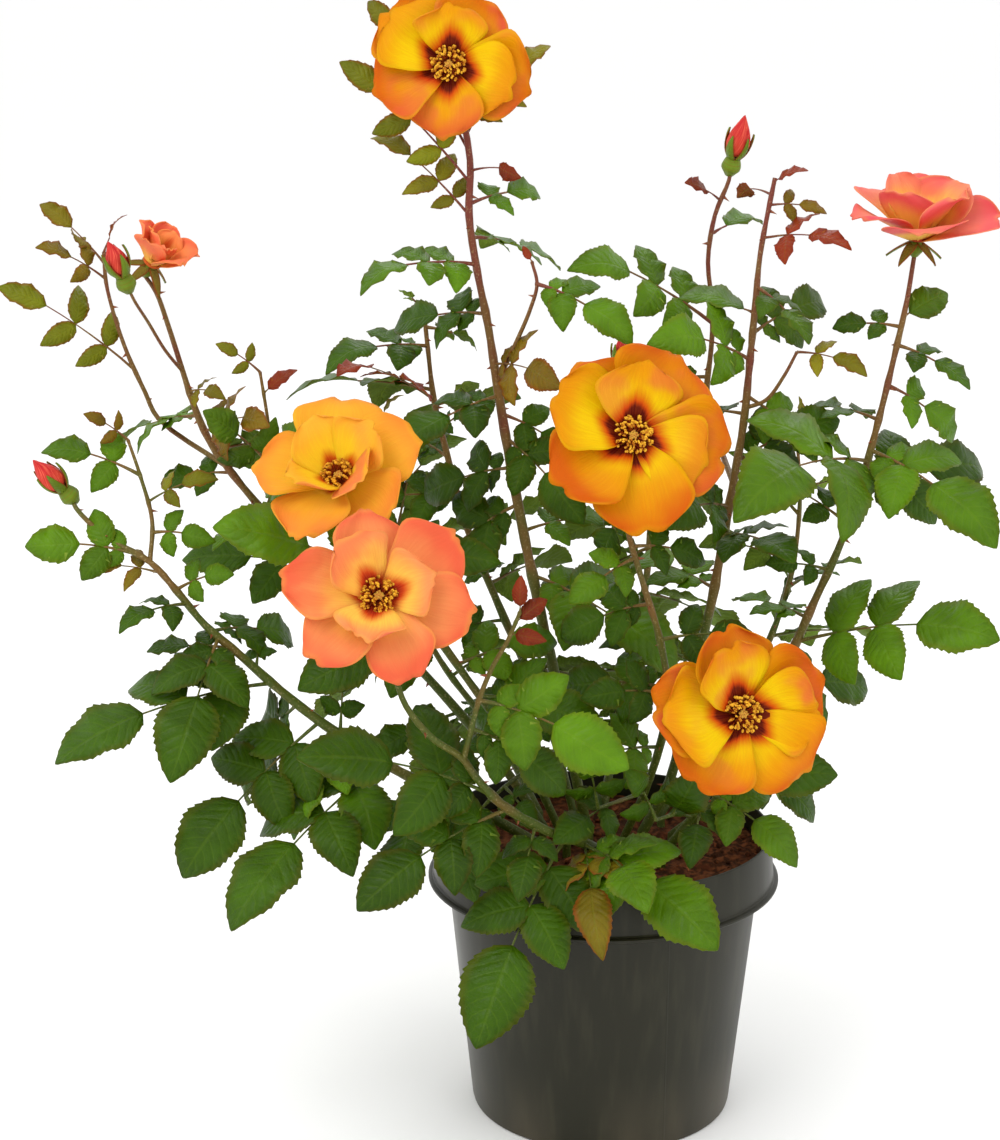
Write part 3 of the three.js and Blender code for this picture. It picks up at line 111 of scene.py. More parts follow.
# Shoots: a route of places (across, down, back) as in the photograph, in pixels and millimetres. A side
# shoot starts along its parent's route. A leaf is (start along the route, its tip's place, leaflets, end
# leaflet's length, roll, look), where a roll and look of 0 may be left out. Looks: 0 old, 1 fresh,
# 2 grey-green, 3 bronze, 4 red.
SHOOTS = [
    dict(name="cane_crest", foot=(-8, 8), thick=(2.9, 1.3), spread=24, bloom="crest", route=[
        (560, 700, 4), (540, 610, 5), (525, 540, 5), (508, 450, 5), (498, 390, 5), (488, 325, 4),
        (477, 270, 0), (469, 215, -2), (470, 160, -2)], leaves=[
        (7.1, 358, 284, -32, 5, 36, 18, 1), (8.2, 544, 192, 6, 3, 30, 10, 1),
        (8.6, 338, 64, 28, 5, 30, -10, 3), (9.3, 549, 44, 16, 3, 26, 15, 3), (9.1, 366, 3, 18, 1, 28, -15, 3),
        (8.8, 521, 176, -16, 1, 17, 40, 4), (8, 372, 132, -12, 3, 26, 20, 3),
        (5.4, 562, 388, -34, 3, 34, 12, 3), (4.2, 584, 524, -30, 3, 42), (2.5, 680, 671, 4, 3, 54, -14, 1),
        (4.9, 396, 452, -30, 3, 46, 10), (3.4, 410, 590, -2, 3, 48, -12), (1.4, 470, 730, 26, 3, 46),
        (2.1, 640, 600, 30, 3, 46, 8), (3.1, 612, 520, 34, 3, 44, 0, 1), (3.8, 420, 500, 24, 3, 42, -8),
        (4.6, 580, 462, 30, 3, 38, 6), (6.2, 392, 330, 30, 3, 36, 10), (7.6, 560, 270, 20, 3, 30, 0, 1)]),
    dict(name="crest_side", parent="cane_crest", start=5.1, thick=(1.3, 0.8), spread=8, route=[
        (515, 345, -6), (530, 310, -10), (537, 284, -12), (532, 262, -12)], leaves=[
        (3, 633, 340, -30, 3, 46, -18, 1), (4, 522, 246, -14, 1, 14, 0, 4)]),
    dict(name="cane_left", foot=(-30, -14), thick=(2.8, 1.1), spread=20, bud="bud_left", route=[
        (470, 806, -26), (400, 772, -32), (325, 725, -34), (280, 690, -34), (240, 655, -32), (205, 625, -30),
        (176, 590, -28), (150, 562, -26), (105, 536, -22), (76, 508, -18)], leaves=[
        (4.2, 55, 764, -70, 5, 50, 8), (3.1, 184, 880, -84, 5, 46, -8), (2.2, 231, 931, -92, 5, 52, 6),
        (2.6, 286, 834, -70, 3, 48, 16, 1), (5.2, 146, 653, -50, 3, 30, 35), (6.6, 118, 626, -46, 3, 34, 4),
        (7.6, 84, 568, -44, 3, 30, 18, 3), (8.3, 24, 548, -16, 3, 40, -12, 1),
        (7, 234, 572, -52, 3, 36, 8, 1), (5.6, 176, 780, -74, 3, 48, -22), (1.7, 398, 892, -92, 3, 44, 10),
        (3.6, 232, 800, -6, 3, 44, 6), (1.2, 470, 900, -60, 3, 46), (5.8, 300, 640, -10, 3, 42),
        (2.8, 345, 660, -20, 3, 46), (4.6, 262, 632, -20, 3, 42)]),
    dict(name="left_side", parent="cane_left", start=8, thick=(1.3, 0.8), swing=10, spread=18, route=[
        (152, 520, -22), (140, 475, -18), (128, 440, -14)], leaves=[
        (2, 42, 446, -16, 3, 28, 10, 1), (1.4, 216, 476, -34, 3, 28, -8, 3), (3, 84, 414, -8, 3, 22, 0, 3),
        (0.7, 212, 542, -46, 3, 30, 12, 1)]),
    dict(name="cane_west", foot=(-32, 20), thick=(2.6, 1.1), swing=34, spread=26, bloom="west", route=[
        (500, 762, 30), (430, 680, 34), (370, 620, 36), (300, 550, 36), (243, 487, 34), (209, 440, 30),
        (192, 400, 26), (183, 372, 20), (168, 325, 8), (156, 292, -2)], leaves=[
        (4.2, 212, 540, 8, 3, 42, 10, 1), (2.4, 320, 720, 60, 3, 48), (6.2, 270, 424, 0, 3, 28, 8, 3),
        (7.3, 222, 396, -6, 3, 24, -10, 3), (5.3, 160, 486, 20, 3, 34, 4), (4.6, 300, 424, 20, 3, 36, -10, 1),
        (6.6, 112, 446, 36, 3, 30, 6, 1), (3.7, 182, 560, 60, 3, 42), (1.6, 370, 760, 10, 3, 50),
        (3, 420, 560, 30, 3, 44), (5.8, 330, 450, 40, 3, 34)]),
    dict(name="west_red", parent="cane_west", start=5.4, thick=(1.5, 0.9), swing=36, spread=14, route=[
        (158, 418, 34), (145, 392, 34), (128, 355, 32), (115, 318, 30), (106, 282, 28),
        (104, 252, 26)], leaves=[
        (2.6, -4, 289, 30, 5, 31, 6, 3), (5.6, 39, 203, 30, 3, 36, 0, 3), (5.1, 37, 246, 18, 3, 32, 10, 3),
        (6, 122, 212, 26, 1, 16, 0, 4)]),
    dict(name="west_stalk", parent="cane_west", start=8, thick=(1, 0.8), swing=30, bud="bud_west", route=[
        (165, 350, 2), (148, 322, -12), (134, 300, -30)], leaves=[]),
    dict(name="west_twig", parent="cane_west", start=4.2, thick=(1.3, 0.8), swing=14, spread=12, route=[
        (280, 500, 22), (272, 450, 14), (266, 408, 10), (260, 372, 8)], leaves=[
        (4, 216, 344, 6, 3, 20, 0, 3), (3.4, 296, 368, 4, 1, 20, 10, 4), (1.6, 202, 414, 0, 3, 28, -12, 2)]),
    dict(name="cane_centre", foot=(-14, 30), thick=(2.3, 1), swing=34, spread=24, route=[
        (548, 720, 42), (505, 620, 46), (468, 530, 48), (446, 450, 48), (434, 400, 46), (428, 350, 42),
        (424, 312, 38)], leaves=[
        (6.1, 324, 362, 22, 3, 44, 10), (5.2, 284, 391, 40, 3, 42, -6, 2), (5, 338, 372, 2, 3, 29, 10, 4),
        (6.6, 480, 346, 26, 3, 35, 4), (4.4, 466, 412, 14, 3, 46, 10), (3.4, 350, 505, 60, 3, 51),
        (2.4, 570, 560, 70, 3, 55), (7, 400, 290, 34, 3, 35, 8, 1), (1.5, 610, 690, 60, 3, 53),
        (2, 410, 650, 70, 3, 53, 8), (2.9, 548, 505, 70, 3, 48), (3.9, 380, 430, 70, 3, 42),
        (4.9, 520, 400, 80, 3, 37, 4, 2), (2.4, 470, 560, 60, 3, 48), (1, 530, 760, 50, 3, 52)]),
    dict(name="cane_tall", foot=(22, 12), thick=(3, 1), swing=26, spread=26, route=[
        (670, 780, 12), (690, 690, 8), (712, 600, 2), (722, 545, -2), (732, 490, -4), (744, 420, -4),
        (750, 360, -4), (755, 308, -4), (760, 256, -4), (768, 212, -4), (775, 178, -4)], leaves=[
        (10.9, 807, 168, -4, 1, 22, 0, 4), (10.2, 828, 212, -16, 3, 22, 10, 3),
        (9.4, 852, 246, -14, 3, 26, 6, 4), (8.4, 812, 344, -42, 3, 45, -12, 2),
        (7.9, 678, 293, -18, 1, 39, 22, 1), (7, 656, 336, -30, 3, 41, 8, 1),
        (10.5, 736, 196, 14, 1, 19, 0, 4), (5.4, 840, 420, 34, 3, 45), (4.2, 796, 560, -76, 3, 50, 4),
        (2.3, 600, 640, 30, 3, 56), (1.6, 760, 720, 20, 3, 52), (3.2, 628, 560, 30, 3, 50, 0, 1),
        (4.7, 668, 520, -40, 3, 45), (6.4, 820, 460, -42, 3, 48, 8, 1), (6.1, 672, 420, 40, 3, 41),
        (7.5, 830, 300, 20, 3, 37, 0, 2)]),
    dict(name="tall_side", parent="cane_tall", start=6.2, thick=(1.2, 0.8), swing=22, spread=10, route=[
        (766, 400, -18), (784, 376, -22), (797, 352, -24)], leaves=[
        (3, 868, 372, -34, 3, 26, 0, 3)]),
    dict(name="tall_bud", parent="cane_tall", start=5.1, thick=(1.7, 1), swing=40, spread=18, bud="bud_top",
        route=[
        (718, 440, 10), (707, 395, 14), (711, 350, 16), (713, 312, 16), (708, 262, 14), (715, 215, 12),
        (729, 180, 10)], leaves=[
        (3.7, 573, 259, -6, 5, 36, -10, 1), (5.6, 763, 214, 26, 1, 28, 8, 1), (6.4, 686, 184, 4, 1, 20, 0, 4),
        (2.4, 600, 402, 44, 3, 40)]),
    dict(name="cane_east", foot=(38, 8), thick=(2.7, 1.2), swing=12, spread=24, bloom="east", route=[
        (716, 800, 8), (748, 735, 10), (788, 660, 10), (815, 600, 8), (838, 550, 6), (857, 498, 4),
        (872, 445, 2), (885, 395, 0), (897, 345, 0), (907, 300, 0)], leaves=[
        (6.9, 996, 541, -44, 3, 54, 10, 1), (6, 992, 464, 26, 3, 42, 4), (3.3, 1000, 640, -26, 5, 46, 0, 1),
        (9, 972, 388, -24, 3, 46, -10), (9.4, 832, 328, -16, 3, 38, 8), (9.6, 946, 290, 30, 1, 28, 0, 2),
        (6.7, 741, 502, -120, 3, 54, 20, 1), (4.6, 766, 566, 8, 3, 44, 8), (2.6, 868, 690, 40, 3, 44),
        (1.6, 820, 820, 30, 3, 46), (2.3, 690, 690, 26, 3, 46), (3.7, 730, 600, 30, 3, 44, 6, 1),
        (5.5, 770, 480, 30, 3, 42), (7.5, 800, 410, 20, 3, 40, 4), (8.2, 960, 440, 20, 3, 38, 0, 1)]),
    dict(name="cane_noon", foot=(8, -12), thick=(2.3, 1.1), bloom="noon", route=[
        (650, 778, -26), (668, 700, -46), (660, 640, -54), (642, 580, -54), (627, 524, -48)], leaves=[
        (4.4, 572, 606, -78, 3, 48, 6, 1), (3, 760, 640, -58, 3, 50), (2.1, 582, 700, -70, 3, 54),
        (1.4, 570, 770, -70, 3, 54, 0, 1), (3.6, 560, 640, -30, 3, 50), (4.6, 706, 560, -30, 3, 43),
        (2.2, 560, 690, -20, 3, 50), (5.2, 600, 560, -20, 3, 44)]),
    dict(name="cane_front", foot=(0, -44), thick=(2.6, 1.2), bloom="salmon", route=[
        (594, 848, -62), (545, 830, -78), (500, 803, -92), (475, 776, -100), (462, 758, -104),
        (432, 738, -108), (406, 706, -110), (394, 672, -110)], leaves=[
        (1.6, 476, 1049, -138, 5, 52, -6), (1.2, 598, 952, -128, 3, 52, 10, 3),
        (3.3, 296, 758, -122, 3, 50, 14), (2.8, 360, 912, -132, 5, 44), (1.3, 718, 950, -124, 3, 54, -12, 1),
        (1, 650, 905, -130, 3, 50, 0, 1), (2.2, 520, 900, -120, 3, 50)]),
    dict(name="front_tip", parent="cane_front", start=4.9, thick=(1.6, 0.9), route=[
        (470, 735, -108), (479, 700, -108), (492, 668, -106), (508, 640, -104), (520, 612, -102)], leaves=[
        (5, 521, 576, -100, 1, 20, 0, 4), (4.2, 546, 640, -112, 1, 24, 10, 4),
        (4.6, 548, 598, -96, 1, 18, 0, 4), (2, 629, 769, -124, 3, 54, 12, 1), (1.2, 570, 792, -104, 3, 44)]),
    dict(name="cane_low", foot=(30, -24), thick=(2.4, 1.2), bloom="low", route=[
        (704, 800, -44), (722, 765, -62)], leaves=[
        (1.2, 801, 862, -76, 3, 42, 0, 1), (1.6, 838, 772, -60, 1, 40, 8), (1, 690, 862, -90, 3, 46, 10)]),
    dict(name="cane_upper", foot=(-20, -8), thick=(2.3, 1.1), bloom="upper", route=[
        (525, 760, -14), (468, 680, -24), (415, 605, -32), (378, 548, -36), (352, 512, -38)], leaves=[
        (3.2, 214, 528, -64, 3, 52, 14, 1), (2.5, 300, 690, -60, 3, 52), (3.7, 500, 560, -54, 3, 48, 4),
        (1.8, 600, 730, -66, 3, 50), (1.3, 440, 800, -50, 3, 50), (2.2, 560, 640, -10, 3, 46, 0, 1),
        (3.4, 310, 620, -20, 3, 44)]),
    dict(name="cane_back", foot=(2, 46), thick=(2.5, 1), spread=14, bud="bud_back", route=[
        (618, 720, 84), (640, 620, 116), (650, 530, 136), (640, 450, 146), (626, 390, 148)], leaves=[
        (1.5, 520, 700, 150, 3, 57), (2.3, 740, 640, 160, 3, 57), (3.2, 560, 540, 176, 3, 55),
        (4.2, 710, 450, 176, 3, 48, 0, 1), (5.2, 570, 372, 164, 3, 34, 0, 3), (1.9, 720, 720, 110, 3, 57),
        (2.8, 570, 600, 130, 3, 55), (3.7, 730, 520, 160, 3, 51), (4.7, 690, 400, 170, 3, 39, 0, 1),
        (2.3, 650, 610, 120, 3, 52), (1.2, 600, 745, 90, 3, 54)]),
    dict(name="cane_back_left", foot=(-34, 42), thick=(2.3, 0.9), swing=-24, spread=22, route=[
        (500, 740, 88), (440, 660, 118), (400, 580, 134), (378, 500, 140), (368, 440, 138)], leaves=[
        (1.4, 420, 790, 140, 3, 57), (2.3, 310, 650, 140, 3, 55), (3.2, 480, 520, 168, 3, 53),
        (4.2, 290, 470, 150, 3, 46, 0, 1), (5, 400, 392, 130, 3, 34, 0, 3), (1.8, 520, 640, 140, 3, 55),
        (2.8, 330, 560, 150, 3, 53), (3.8, 460, 430, 150, 3, 44), (1.3, 465, 700, 110, 3, 52),
        (3.3, 430, 400, 140, 3, 44)]),
    dict(name="cane_back_right", foot=(34, 40), thick=(2.3, 0.9), swing=-20, spread=22, route=[
        (710, 740, 82), (760, 660, 110), (790, 580, 122), (800, 500, 124), (798, 450, 120)], leaves=[
        (1.4, 780, 800, 130, 3, 57), (2.3, 890, 640, 120, 3, 55), (3.2, 700, 540, 156, 3, 53),
        (4.2, 880, 480, 140, 3, 46, 0, 1), (5, 800, 396, 110, 3, 34, 0, 3), (1.9, 680, 630, 140, 3, 55),
        (2.9, 860, 560, 130, 3, 51), (3.8, 730, 450, 140, 3, 46), (2.4, 790, 570, 130, 3, 48),
        (1.4, 775, 650, 120, 3, 50)]),
    dict(name="noon_twig", parent="cane_noon", start=0.8, thick=(1.3, 0.8), route=[
        (622, 800, -44), (598, 808, -62)], leaves=[
        (1.1, 556, 846, -84, 3, 44), (2, 586, 756, -88, 3, 44)]),
    dict(name="low_twig", parent="cane_low", start=0.7, thick=(1.3, 0.8), route=[
        (676, 814, -60), (656, 820, -74)], leaves=[
        (2, 630, 772, -96, 3, 44), (1.2, 700, 776, -90, 1, 40)]),
    dict(name="upper_twig", parent="cane_upper", start=0.9, thick=(1.3, 0.8), route=[
        (508, 784, -30), (490, 800, -44)], leaves=[
        (2, 456, 846, -66, 3, 44), (1.2, 534, 828, -66, 3, 44)]),
]

# Blooms: place, the way they face, reach, the size of the dark eye, then rings of petals: (how many, length
# share, width share, rise at the claw, rise at the edge, first turn)
BLOOMS = {
    "crest": dict(at=(450, 66, -14), faces=(-8, 16), reach=41, eye=0.92, tone="amber", rings=[
        (5, 1, 0.66, 16, 2, -30), (2, 0.92, 0.62, 26, 10, 60), (1, 0.76, 0.56, 36, 26, 0)]),
    "noon": dict(at=(632, 437, -66), faces=(6, 24), reach=49, eye=1, tone="amber", rings=[
        (5, 1, 0.66, 16, 4, -32), (2, 0.9, 0.62, 28, 10, 58), (1, 0.78, 0.56, 38, 26, -6)]),
    "low": dict(at=(740, 714, -92), faces=(14, 18), reach=49, eye=1, tone="amber", rings=[
        (5, 1, 0.66, 18, 6, 4), (2, 0.9, 0.62, 28, 12, 92), (1, 0.8, 0.56, 38, 26, 24)]),
    "upper": dict(at=(340, 480, -58), faces=(-12, 46), reach=47, eye=0.55, tone="amber", rings=[
        (5, 1, 0.6, 24, 12, 10), (4, 0.76, 0.46, 58, 46, 44)]),
    "salmon": dict(at=(378, 598, -122), faces=(8, 30), reach=49, eye=0.74, tone="coral", rings=[
        (6, 1, 0.5, 20, 6, 14), (3, 0.72, 0.46, 50, 36, 40)]),
    "east": dict(at=(917, 238, 12), faces=(20, 78), reach=45, eye=0.5, tone="coral", rings=[
        (5, 1, 0.62, 36, 18, 0), (4, 0.84, 0.54, 60, 54, 36)]),
    "west": dict(at=(152, 262, 30), faces=(56, 50), reach=26, eye=0.35, tone="coral", rings=[
        (5, 1, 0.46, 62, 50, 12), (3, 0.84, 0.4, 78, 72, 40)]),
}

# Buds: the foot's place, the way the bud points, its length and greatest radius
BUDS = {
    "bud_left": dict(at=(62, 488, -16), faces=(-62, 48), long=22, radius=6.4),
    "bud_top": dict(at=(734, 156, 48), faces=(28, 66), long=24, radius=6.6),
    "bud_west": dict(at=(122, 274, -4), faces=(-34, 62), long=20, radius=6),
    "bud_back": dict(at=(622, 366, 148), faces=(0, 80), long=20, radius=6),
}

# Leaf colours of the five looks, upper side and underside, and how red the rim is
LEAF_TINTS = [
    ((50, 80, 2), (98, 122, 40), 0.1),
    ((84, 124, 8), (124, 150, 48), 0.12),
    ((76, 106, 16), (118, 138, 56), 0.1),
    ((122, 126, 18), (146, 138, 50), 0.5),
    ((136, 44, 20), (158, 80, 42), 0.3),
]

# Petal colours of each bloom: eye, heart, middle, edge, blush and reverse
PETAL_TINTS = {
    "crest": [(90, 6, 2), (240, 202, 0), (230, 158, 0), (212, 98, 4), (226, 96, 60), (216, 118, 14)],
    "noon": [(90, 6, 2), (240, 202, 0), (228, 154, 0), (210, 96, 4), (226, 98, 58), (216, 116, 16)],
    "low": [(90, 6, 2), (240, 204, 0), (230, 156, 0), (212, 96, 4), (228, 98, 60), (218, 112, 20)],
    "upper": [(170, 56, 8), (250, 216, 40), (246, 184, 48), (240, 144, 50), (240, 112, 84), (242, 150, 66)],
    "salmon": [(160, 36, 10), (254, 206, 84), (248, 158, 92), (234, 104, 68), (230, 82, 58), (240, 128, 88)],
    "east": [(170, 60, 24), (254, 204, 92), (248, 148, 112), (238, 98, 100), (232, 76, 98), (240, 108, 106)],
    "west": [(214, 100, 40), (255, 200, 84), (252, 154, 84), (246, 122, 82), (240, 92, 80), (250, 136, 92)],
}

# How much lighter or darker a leaflet is, and how far its leaf drifts to the next look
LEAF_SHADE = {"least": 0.78, "range": 0.44, "drift": 0.35}
# Hip and sepals: the colour, and how red the rim is
CALYX_TINTS = {"tint": ((112, 136, 34), 0.4), "under_tint": ((140, 118, 48), 0.7)}


def draw(index):
    """A repeatable draw from 0 to 1."""
    value = math.sin(index * 12.9898 + 4.1) * 43758.5453
    return value - math.floor(value)


def paint(color):
    """A display colour from 0 to 255 as a linear one."""
    shares = [value / 255 for value in color]
    return (*[s / 12.92 if s <= 0.04045 else ((s + 0.055) / 1.055) ** 2.4 for s in shares], 1)


def between(values, share):
    """A value on the smooth line through evenly spaced ones."""
    spans = len(values) - 1
    at = min(spans - 1, int(share * spans))
    a, b = values[at], values[at + 1]
    before = values[at - 1] if at > 0 else 2 * a - b
    after = values[at + 2] if at + 2 <= spans else 2 * b - a
    t = share * spans - at
    return 0.5 * (2 * a + (b - before) * t + (2 * before - 5 * a + 4 * b - after) * t * t
                  + (3 * a - before - 3 * b + after) * t ** 3)


# Places, in millimetres
def place(across, down, back):
    """Where the sight line of a pixel stands some millimetres behind the pot's axis."""
    pitch = math.radians(SIGHT["pitch"])
    right = (across - SIGHT["across"]) / SIGHT["focal"]
    rise = (SIGHT["down"] - down) / SIGHT["focal"]
    sin, cos = math.sin(pitch), math.cos(pitch)
    ray = Vector((right, cos + rise * sin, rise * cos - sin))
    eye = Vector(SIGHT["eye"])
    return eye + ray * ((back - eye.y) / ray.y)


def heading(faces):
    turn, height = math.radians(faces[0]), math.radians(faces[1])
    return Vector((math.sin(turn) * math.cos(height), -math.cos(turn) * math.cos(height), math.sin(height)))


class Route:
    """A smooth curve through a shoot's points."""

    def __init__(self, points):
        self.points = points
        self.spans = len(points) - 1
        self.steps = self.spans * 2 if self.spans < 6 else self.spans

    def at(self, share):
        points, last = self.points, self.spans
        place_on = min(1, max(0, share)) * last
        i = min(last - 1, int(place_on))
        weight = place_on - i
        b, c = points[i], points[i + 1]
        a = points[i - 1] if i > 0 else points[0] * 2 - points[1]
        d = points[i + 2] if i + 2 <= last else points[last] * 2 - points[last - 1]
        first, middle, third = (
            max(1e-4, (end - start).length ** 0.5) for start, end in ((a, b), (b, c), (c, d)))
        start = ((b - a) / first - (c - a) / (first + middle) + (c - b) / middle) * middle
        end = ((c - b) / middle - (d - b) / (middle + third) + (d - c) / third) * middle
        return (b + start * weight + (c * 3 - b * 3 - start * 2 - end) * weight ** 2
                + (b * 2 - c * 2 + start + end) * weight ** 3)

    def way(self, share):
        return (self.at(min(1, share + 0.002)) - self.at(max(0, share - 0.002))).normalized()

    def spot(self, start):
        """A place on the straight runs of the plain solid, counted in route steps."""
        on = min(1, start / self.spans) * self.steps
        low = min(self.steps - 1, int(on))
        return self.at(low / self.steps).lerp(self.at((low + 1) / self.steps), on - low)

    def length(self):
        marks = [self.at(i / 60) for i in range(61)]
        return sum((b - a).length for a, b in zip(marks, marks[1:]))


def settled(shoot):
    """A shoot's places and leaves, swung back towards its top, the leaves spread before and behind it."""
    steps = len(shoot["route"])

    def swung(step):
        return shoot.get("swing", 0) * (1 if "parent" in shoot else min(1, step / steps) ** SWING_BEND)

    points = [place(u, v, back + swung(i)) for i, (u, v, back) in enumerate(shoot["route"], 1)]
    leaves = []
    for i, (start, u, v, back, leaflets, size, *rest) in enumerate(shoot["leaves"], 1):
        sway = shoot.get("spread", 0) * SWAY[i % len(SWAY)]
        tip = place(u, v, back + swung(start) + sway)
        leaves.append((start, tip, leaflets, size, *(*rest, 0, 0)[:2]))
    return points, leaves


def shoot_route(shoot, points, routes):
    if "parent" in shoot:
        foot = routes[shoot["parent"]].spot(shoot["start"])
    else:
        foot = Vector((*shoot["foot"], SOIL["level"] + STEM["stump"] - 2))
    end = []
    flower = BLOOMS.get(shoot.get("bloom")) or BUDS.get(shoot.get("bud"))
    if flower:
        under = HIP["length"] + GAP + (PETAL["hub_depth"] / 2 if "bloom" in shoot else 0)
        end = [place(*flower["at"]) - heading(flower["faces"]) * (under - 1)]
    return Route([foot, *points, *end])


# Node groups and materials
class Signal:
    """A value in a node tree. What is done with it adds the nodes that work it out."""

    def __init__(self, socket):
        self.socket = socket

    def math(self, operation, *others):
        return worked("Math", dict(enumerate((self, *others))), operation=operation)[0]

    __add__ = partialmethod(math, "ADD")
    __sub__ = partialmethod(math, "SUBTRACT")
    __mul__ = partialmethod(math, "MULTIPLY")
    __pow__ = partialmethod(math, "POWER")
    __abs__ = partialmethod(math, "ABSOLUTE")

    def ramp(self, low, high, start=0, end=1, kind="SMOOTHSTEP"):
        return worked("MapRange", dict(enumerate((self, low, high, start, end))), interpolation_type=kind)[0]

    def stretched(self, scale):
        return worked("Mapping", {"Vector": self, "Scale": scale})[0]

    def noise(self, scale, detail=2, stretch=None):
        vector = self.stretched(stretch) if stretch else self
        return worked("TexNoise", {"Vector": vector, "Scale": scale, "Detail": detail})["Fac"]

    def bump(self, strength, distance):
        return worked("Bump", {"Height": self, "Strength": strength, "Distance": distance})[0]

    def parts(self):
        split = worked("SeparateXYZ", {0: self})
        return split[0], split[1], split[2]


def feed(socket, value):
    if isinstance(value, Signal):
        socket.id_data.links.new(value.socket, socket)
    else:
        socket.default_value = value


def source(tree, kind, **settings):
    """Adds a node with its settings, and gives its outputs by name and by number."""
    return outputs_of(new_node(tree, kind, settings))


def worked(kind, feeds, **settings):
    """Adds a node to the tree of what feeds it, and gives its outputs by name and by number."""
    tree = next(value.socket.id_data for value in feeds.values() if isinstance(value, Signal))
    node = new_node(tree, "ShaderNode" + kind, settings)
    for label, value in feeds.items():
        feed(node.inputs[label], value)
    return outputs_of(node)


def new_node(tree, kind, settings):
    node = tree.nodes.new(kind)
    for name, value in settings.items():
        setattr(node, name, value)
    return node


def outputs_of(node):
    found = {}
    for number, socket in enumerate(node.outputs):
        found[number] = found[socket.name] = Signal(socket)
    return found


def mix(share, a, b, blend="MIX"):
    """One colour over another by a share; a plain colour is a display one."""
    a, b = (paint(color) if isinstance(color, tuple) else color for color in (a, b))
    return worked("Mix", {0: share, 6: a, 7: b}, data_type="RGBA", blend_type=blend)[2]


def layered(color, *coats):
    """A colour with coats of (share, colour) over it."""
    for share, coat in coats:
        color = mix(share, color, coat)
    return color


def new_group(name, inputs, work):
    """A node group: its inputs with a plain value, or none for a vector, and the marks worked out of them."""
    group = bpy.data.node_groups.new(name, "ShaderNodeTree")
    for label, value in inputs.items():
        kind = "NodeSocketVector" if value is None else "NodeSocketFloat"
        socket = group.interface.new_socket(name=label, in_out="INPUT", socket_type=kind)
        if value is not None:
            socket.default_value = value
    marks = work(source(group, "NodeGroupInput"))
    for label in marks:
        group.interface.new_socket(name=label, in_out="OUTPUT", socket_type="NodeSocketFloat")
    result = group.nodes.new("NodeGroupOutput")
    for label, mark in marks.items():
        feed(result.inputs[label], mark)
    return group


def new_material(name, color, roughness, specular=0.5):
    """A plain material, with the place and the map that its textures read."""
    material = bpy.data.materials.new(name)
    material.use_nodes = True
    material.diffuse_color = paint(color)
    surface = material.node_tree.nodes["Principled BSDF"].inputs
    surface["Base Color"].default_value = paint(color)
    surface["Roughness"].default_value = roughness
    surface["Specular IOR Level"].default_value = specular
    given = source(material.node_tree, "ShaderNodeTexCoord")
    return material, given["Object"], given["UV"]


def dressed(material, color, normal=None, roughness=None):
    surface = material.node_tree.nodes["Principled BSDF"].inputs
    for label, value in (("Base Color", color), ("Normal", normal), ("Roughness", roughness)):
        if value is not None:
            feed(surface[label], value)
    return material


def let_light_through(material, share, color):
    """Lets some of the light from behind shine through a thin blade."""
    nodes = material.node_tree.nodes
    glow = worked("BsdfTranslucent", {"Color": color})[0]
    mixed = worked("MixShader", {0: share, 1: Signal(nodes["Principled BSDF"].outputs[0]), 2: glow})[0]
    feed(nodes["Material Output"].inputs["Surface"], mixed)


def mottle_marks(given):
    """Uneven growth: slow light and dark patches with fine specks."""
    patch = given["Vector"].noise(given["Patch"])
    return {
        "Shade": patch.ramp(0.3, 0.7, given["Low"], given["High"], "LINEAR"),
        "Speck": given["Vector"].noise(900).ramp(0.56, 0.7),
    }


def vein_marks(given):
    """Leaf veins on a leaflet's own map: a midrib, side veins that slant forward, and a fine net."""
    u, along, _ = given["Map"].parts()
    across = abs(u - 0.5) * 2
    midrib = across.ramp(0.02, 0.09, 1, 0)
    wave = abs((along * SIDE_VEINS + across ** 1.25 * -1.9).math("FRACT") - 0.5)
    fade = across.ramp(0.55, 1, 1, 0.25)
    cells = {"Vector": given["Map"].stretched((14, 26, 1)), "Scale": 1}
    net = worked("TexVoronoi", cells, feature="DISTANCE_TO_EDGE")["Distance"].ramp(0, 0.12, 0.28, 0)
    return {
        "Vein": midrib.math("MAXIMUM", wave.ramp(0.4, 0.5) * fade).math("MAXIMUM", net),
        "Height": wave.ramp(0.5, 0.12) * fade - midrib * 0.9 - net,
        "Edge": across.ramp(0.68, 1),
    }


def petal_marks(given):
    """A petal's creases, the ragged dark eye at its claw, the glow past that, and slow drifts of colour.

    Petal holds how far each point lies from the flower's centre in millimetres, how golden the petal is and
    how much of it blushes.
    """
    u, v, _ = given["Map"].parts()
    reach, gold, blush = given["Petal"].parts()
    off_center = abs(u - 0.5)
    spike = off_center.ramp(0, 0.3, 1, 0) * EYE["spike"]
    rag = given["Map"].noise(1, 3, (26, 1.4, 1)) * EYE["rag"]
    past = reach - (rag + (spike + EYE["radius"])) * given["Eye"]
    drift = given["Spot"].noise(32) * 0.5 - 0.25
    drawn = given["Spot"].noise(44)
    return {
        "Crease": given["Map"].noise(1, 3, (46, 2.2, 1)),
        "Dark Eye": past.ramp(-EYE["soft"], EYE["soft"], 1, 0),
        "Glow": past.ramp(0, given["Eye"] * EYE["glow"], 1, 0),
        "Along": v + drift + off_center ** 2 * 0.8 + gold * -0.42,
        "Blush": drawn.ramp(0.42, 0.6) * blush,
        "Rim": v.ramp(0.9, 1).math("MAXIMUM", off_center.ramp(0.44, 0.5)) * drawn.ramp(0.3, 0.6),
    }


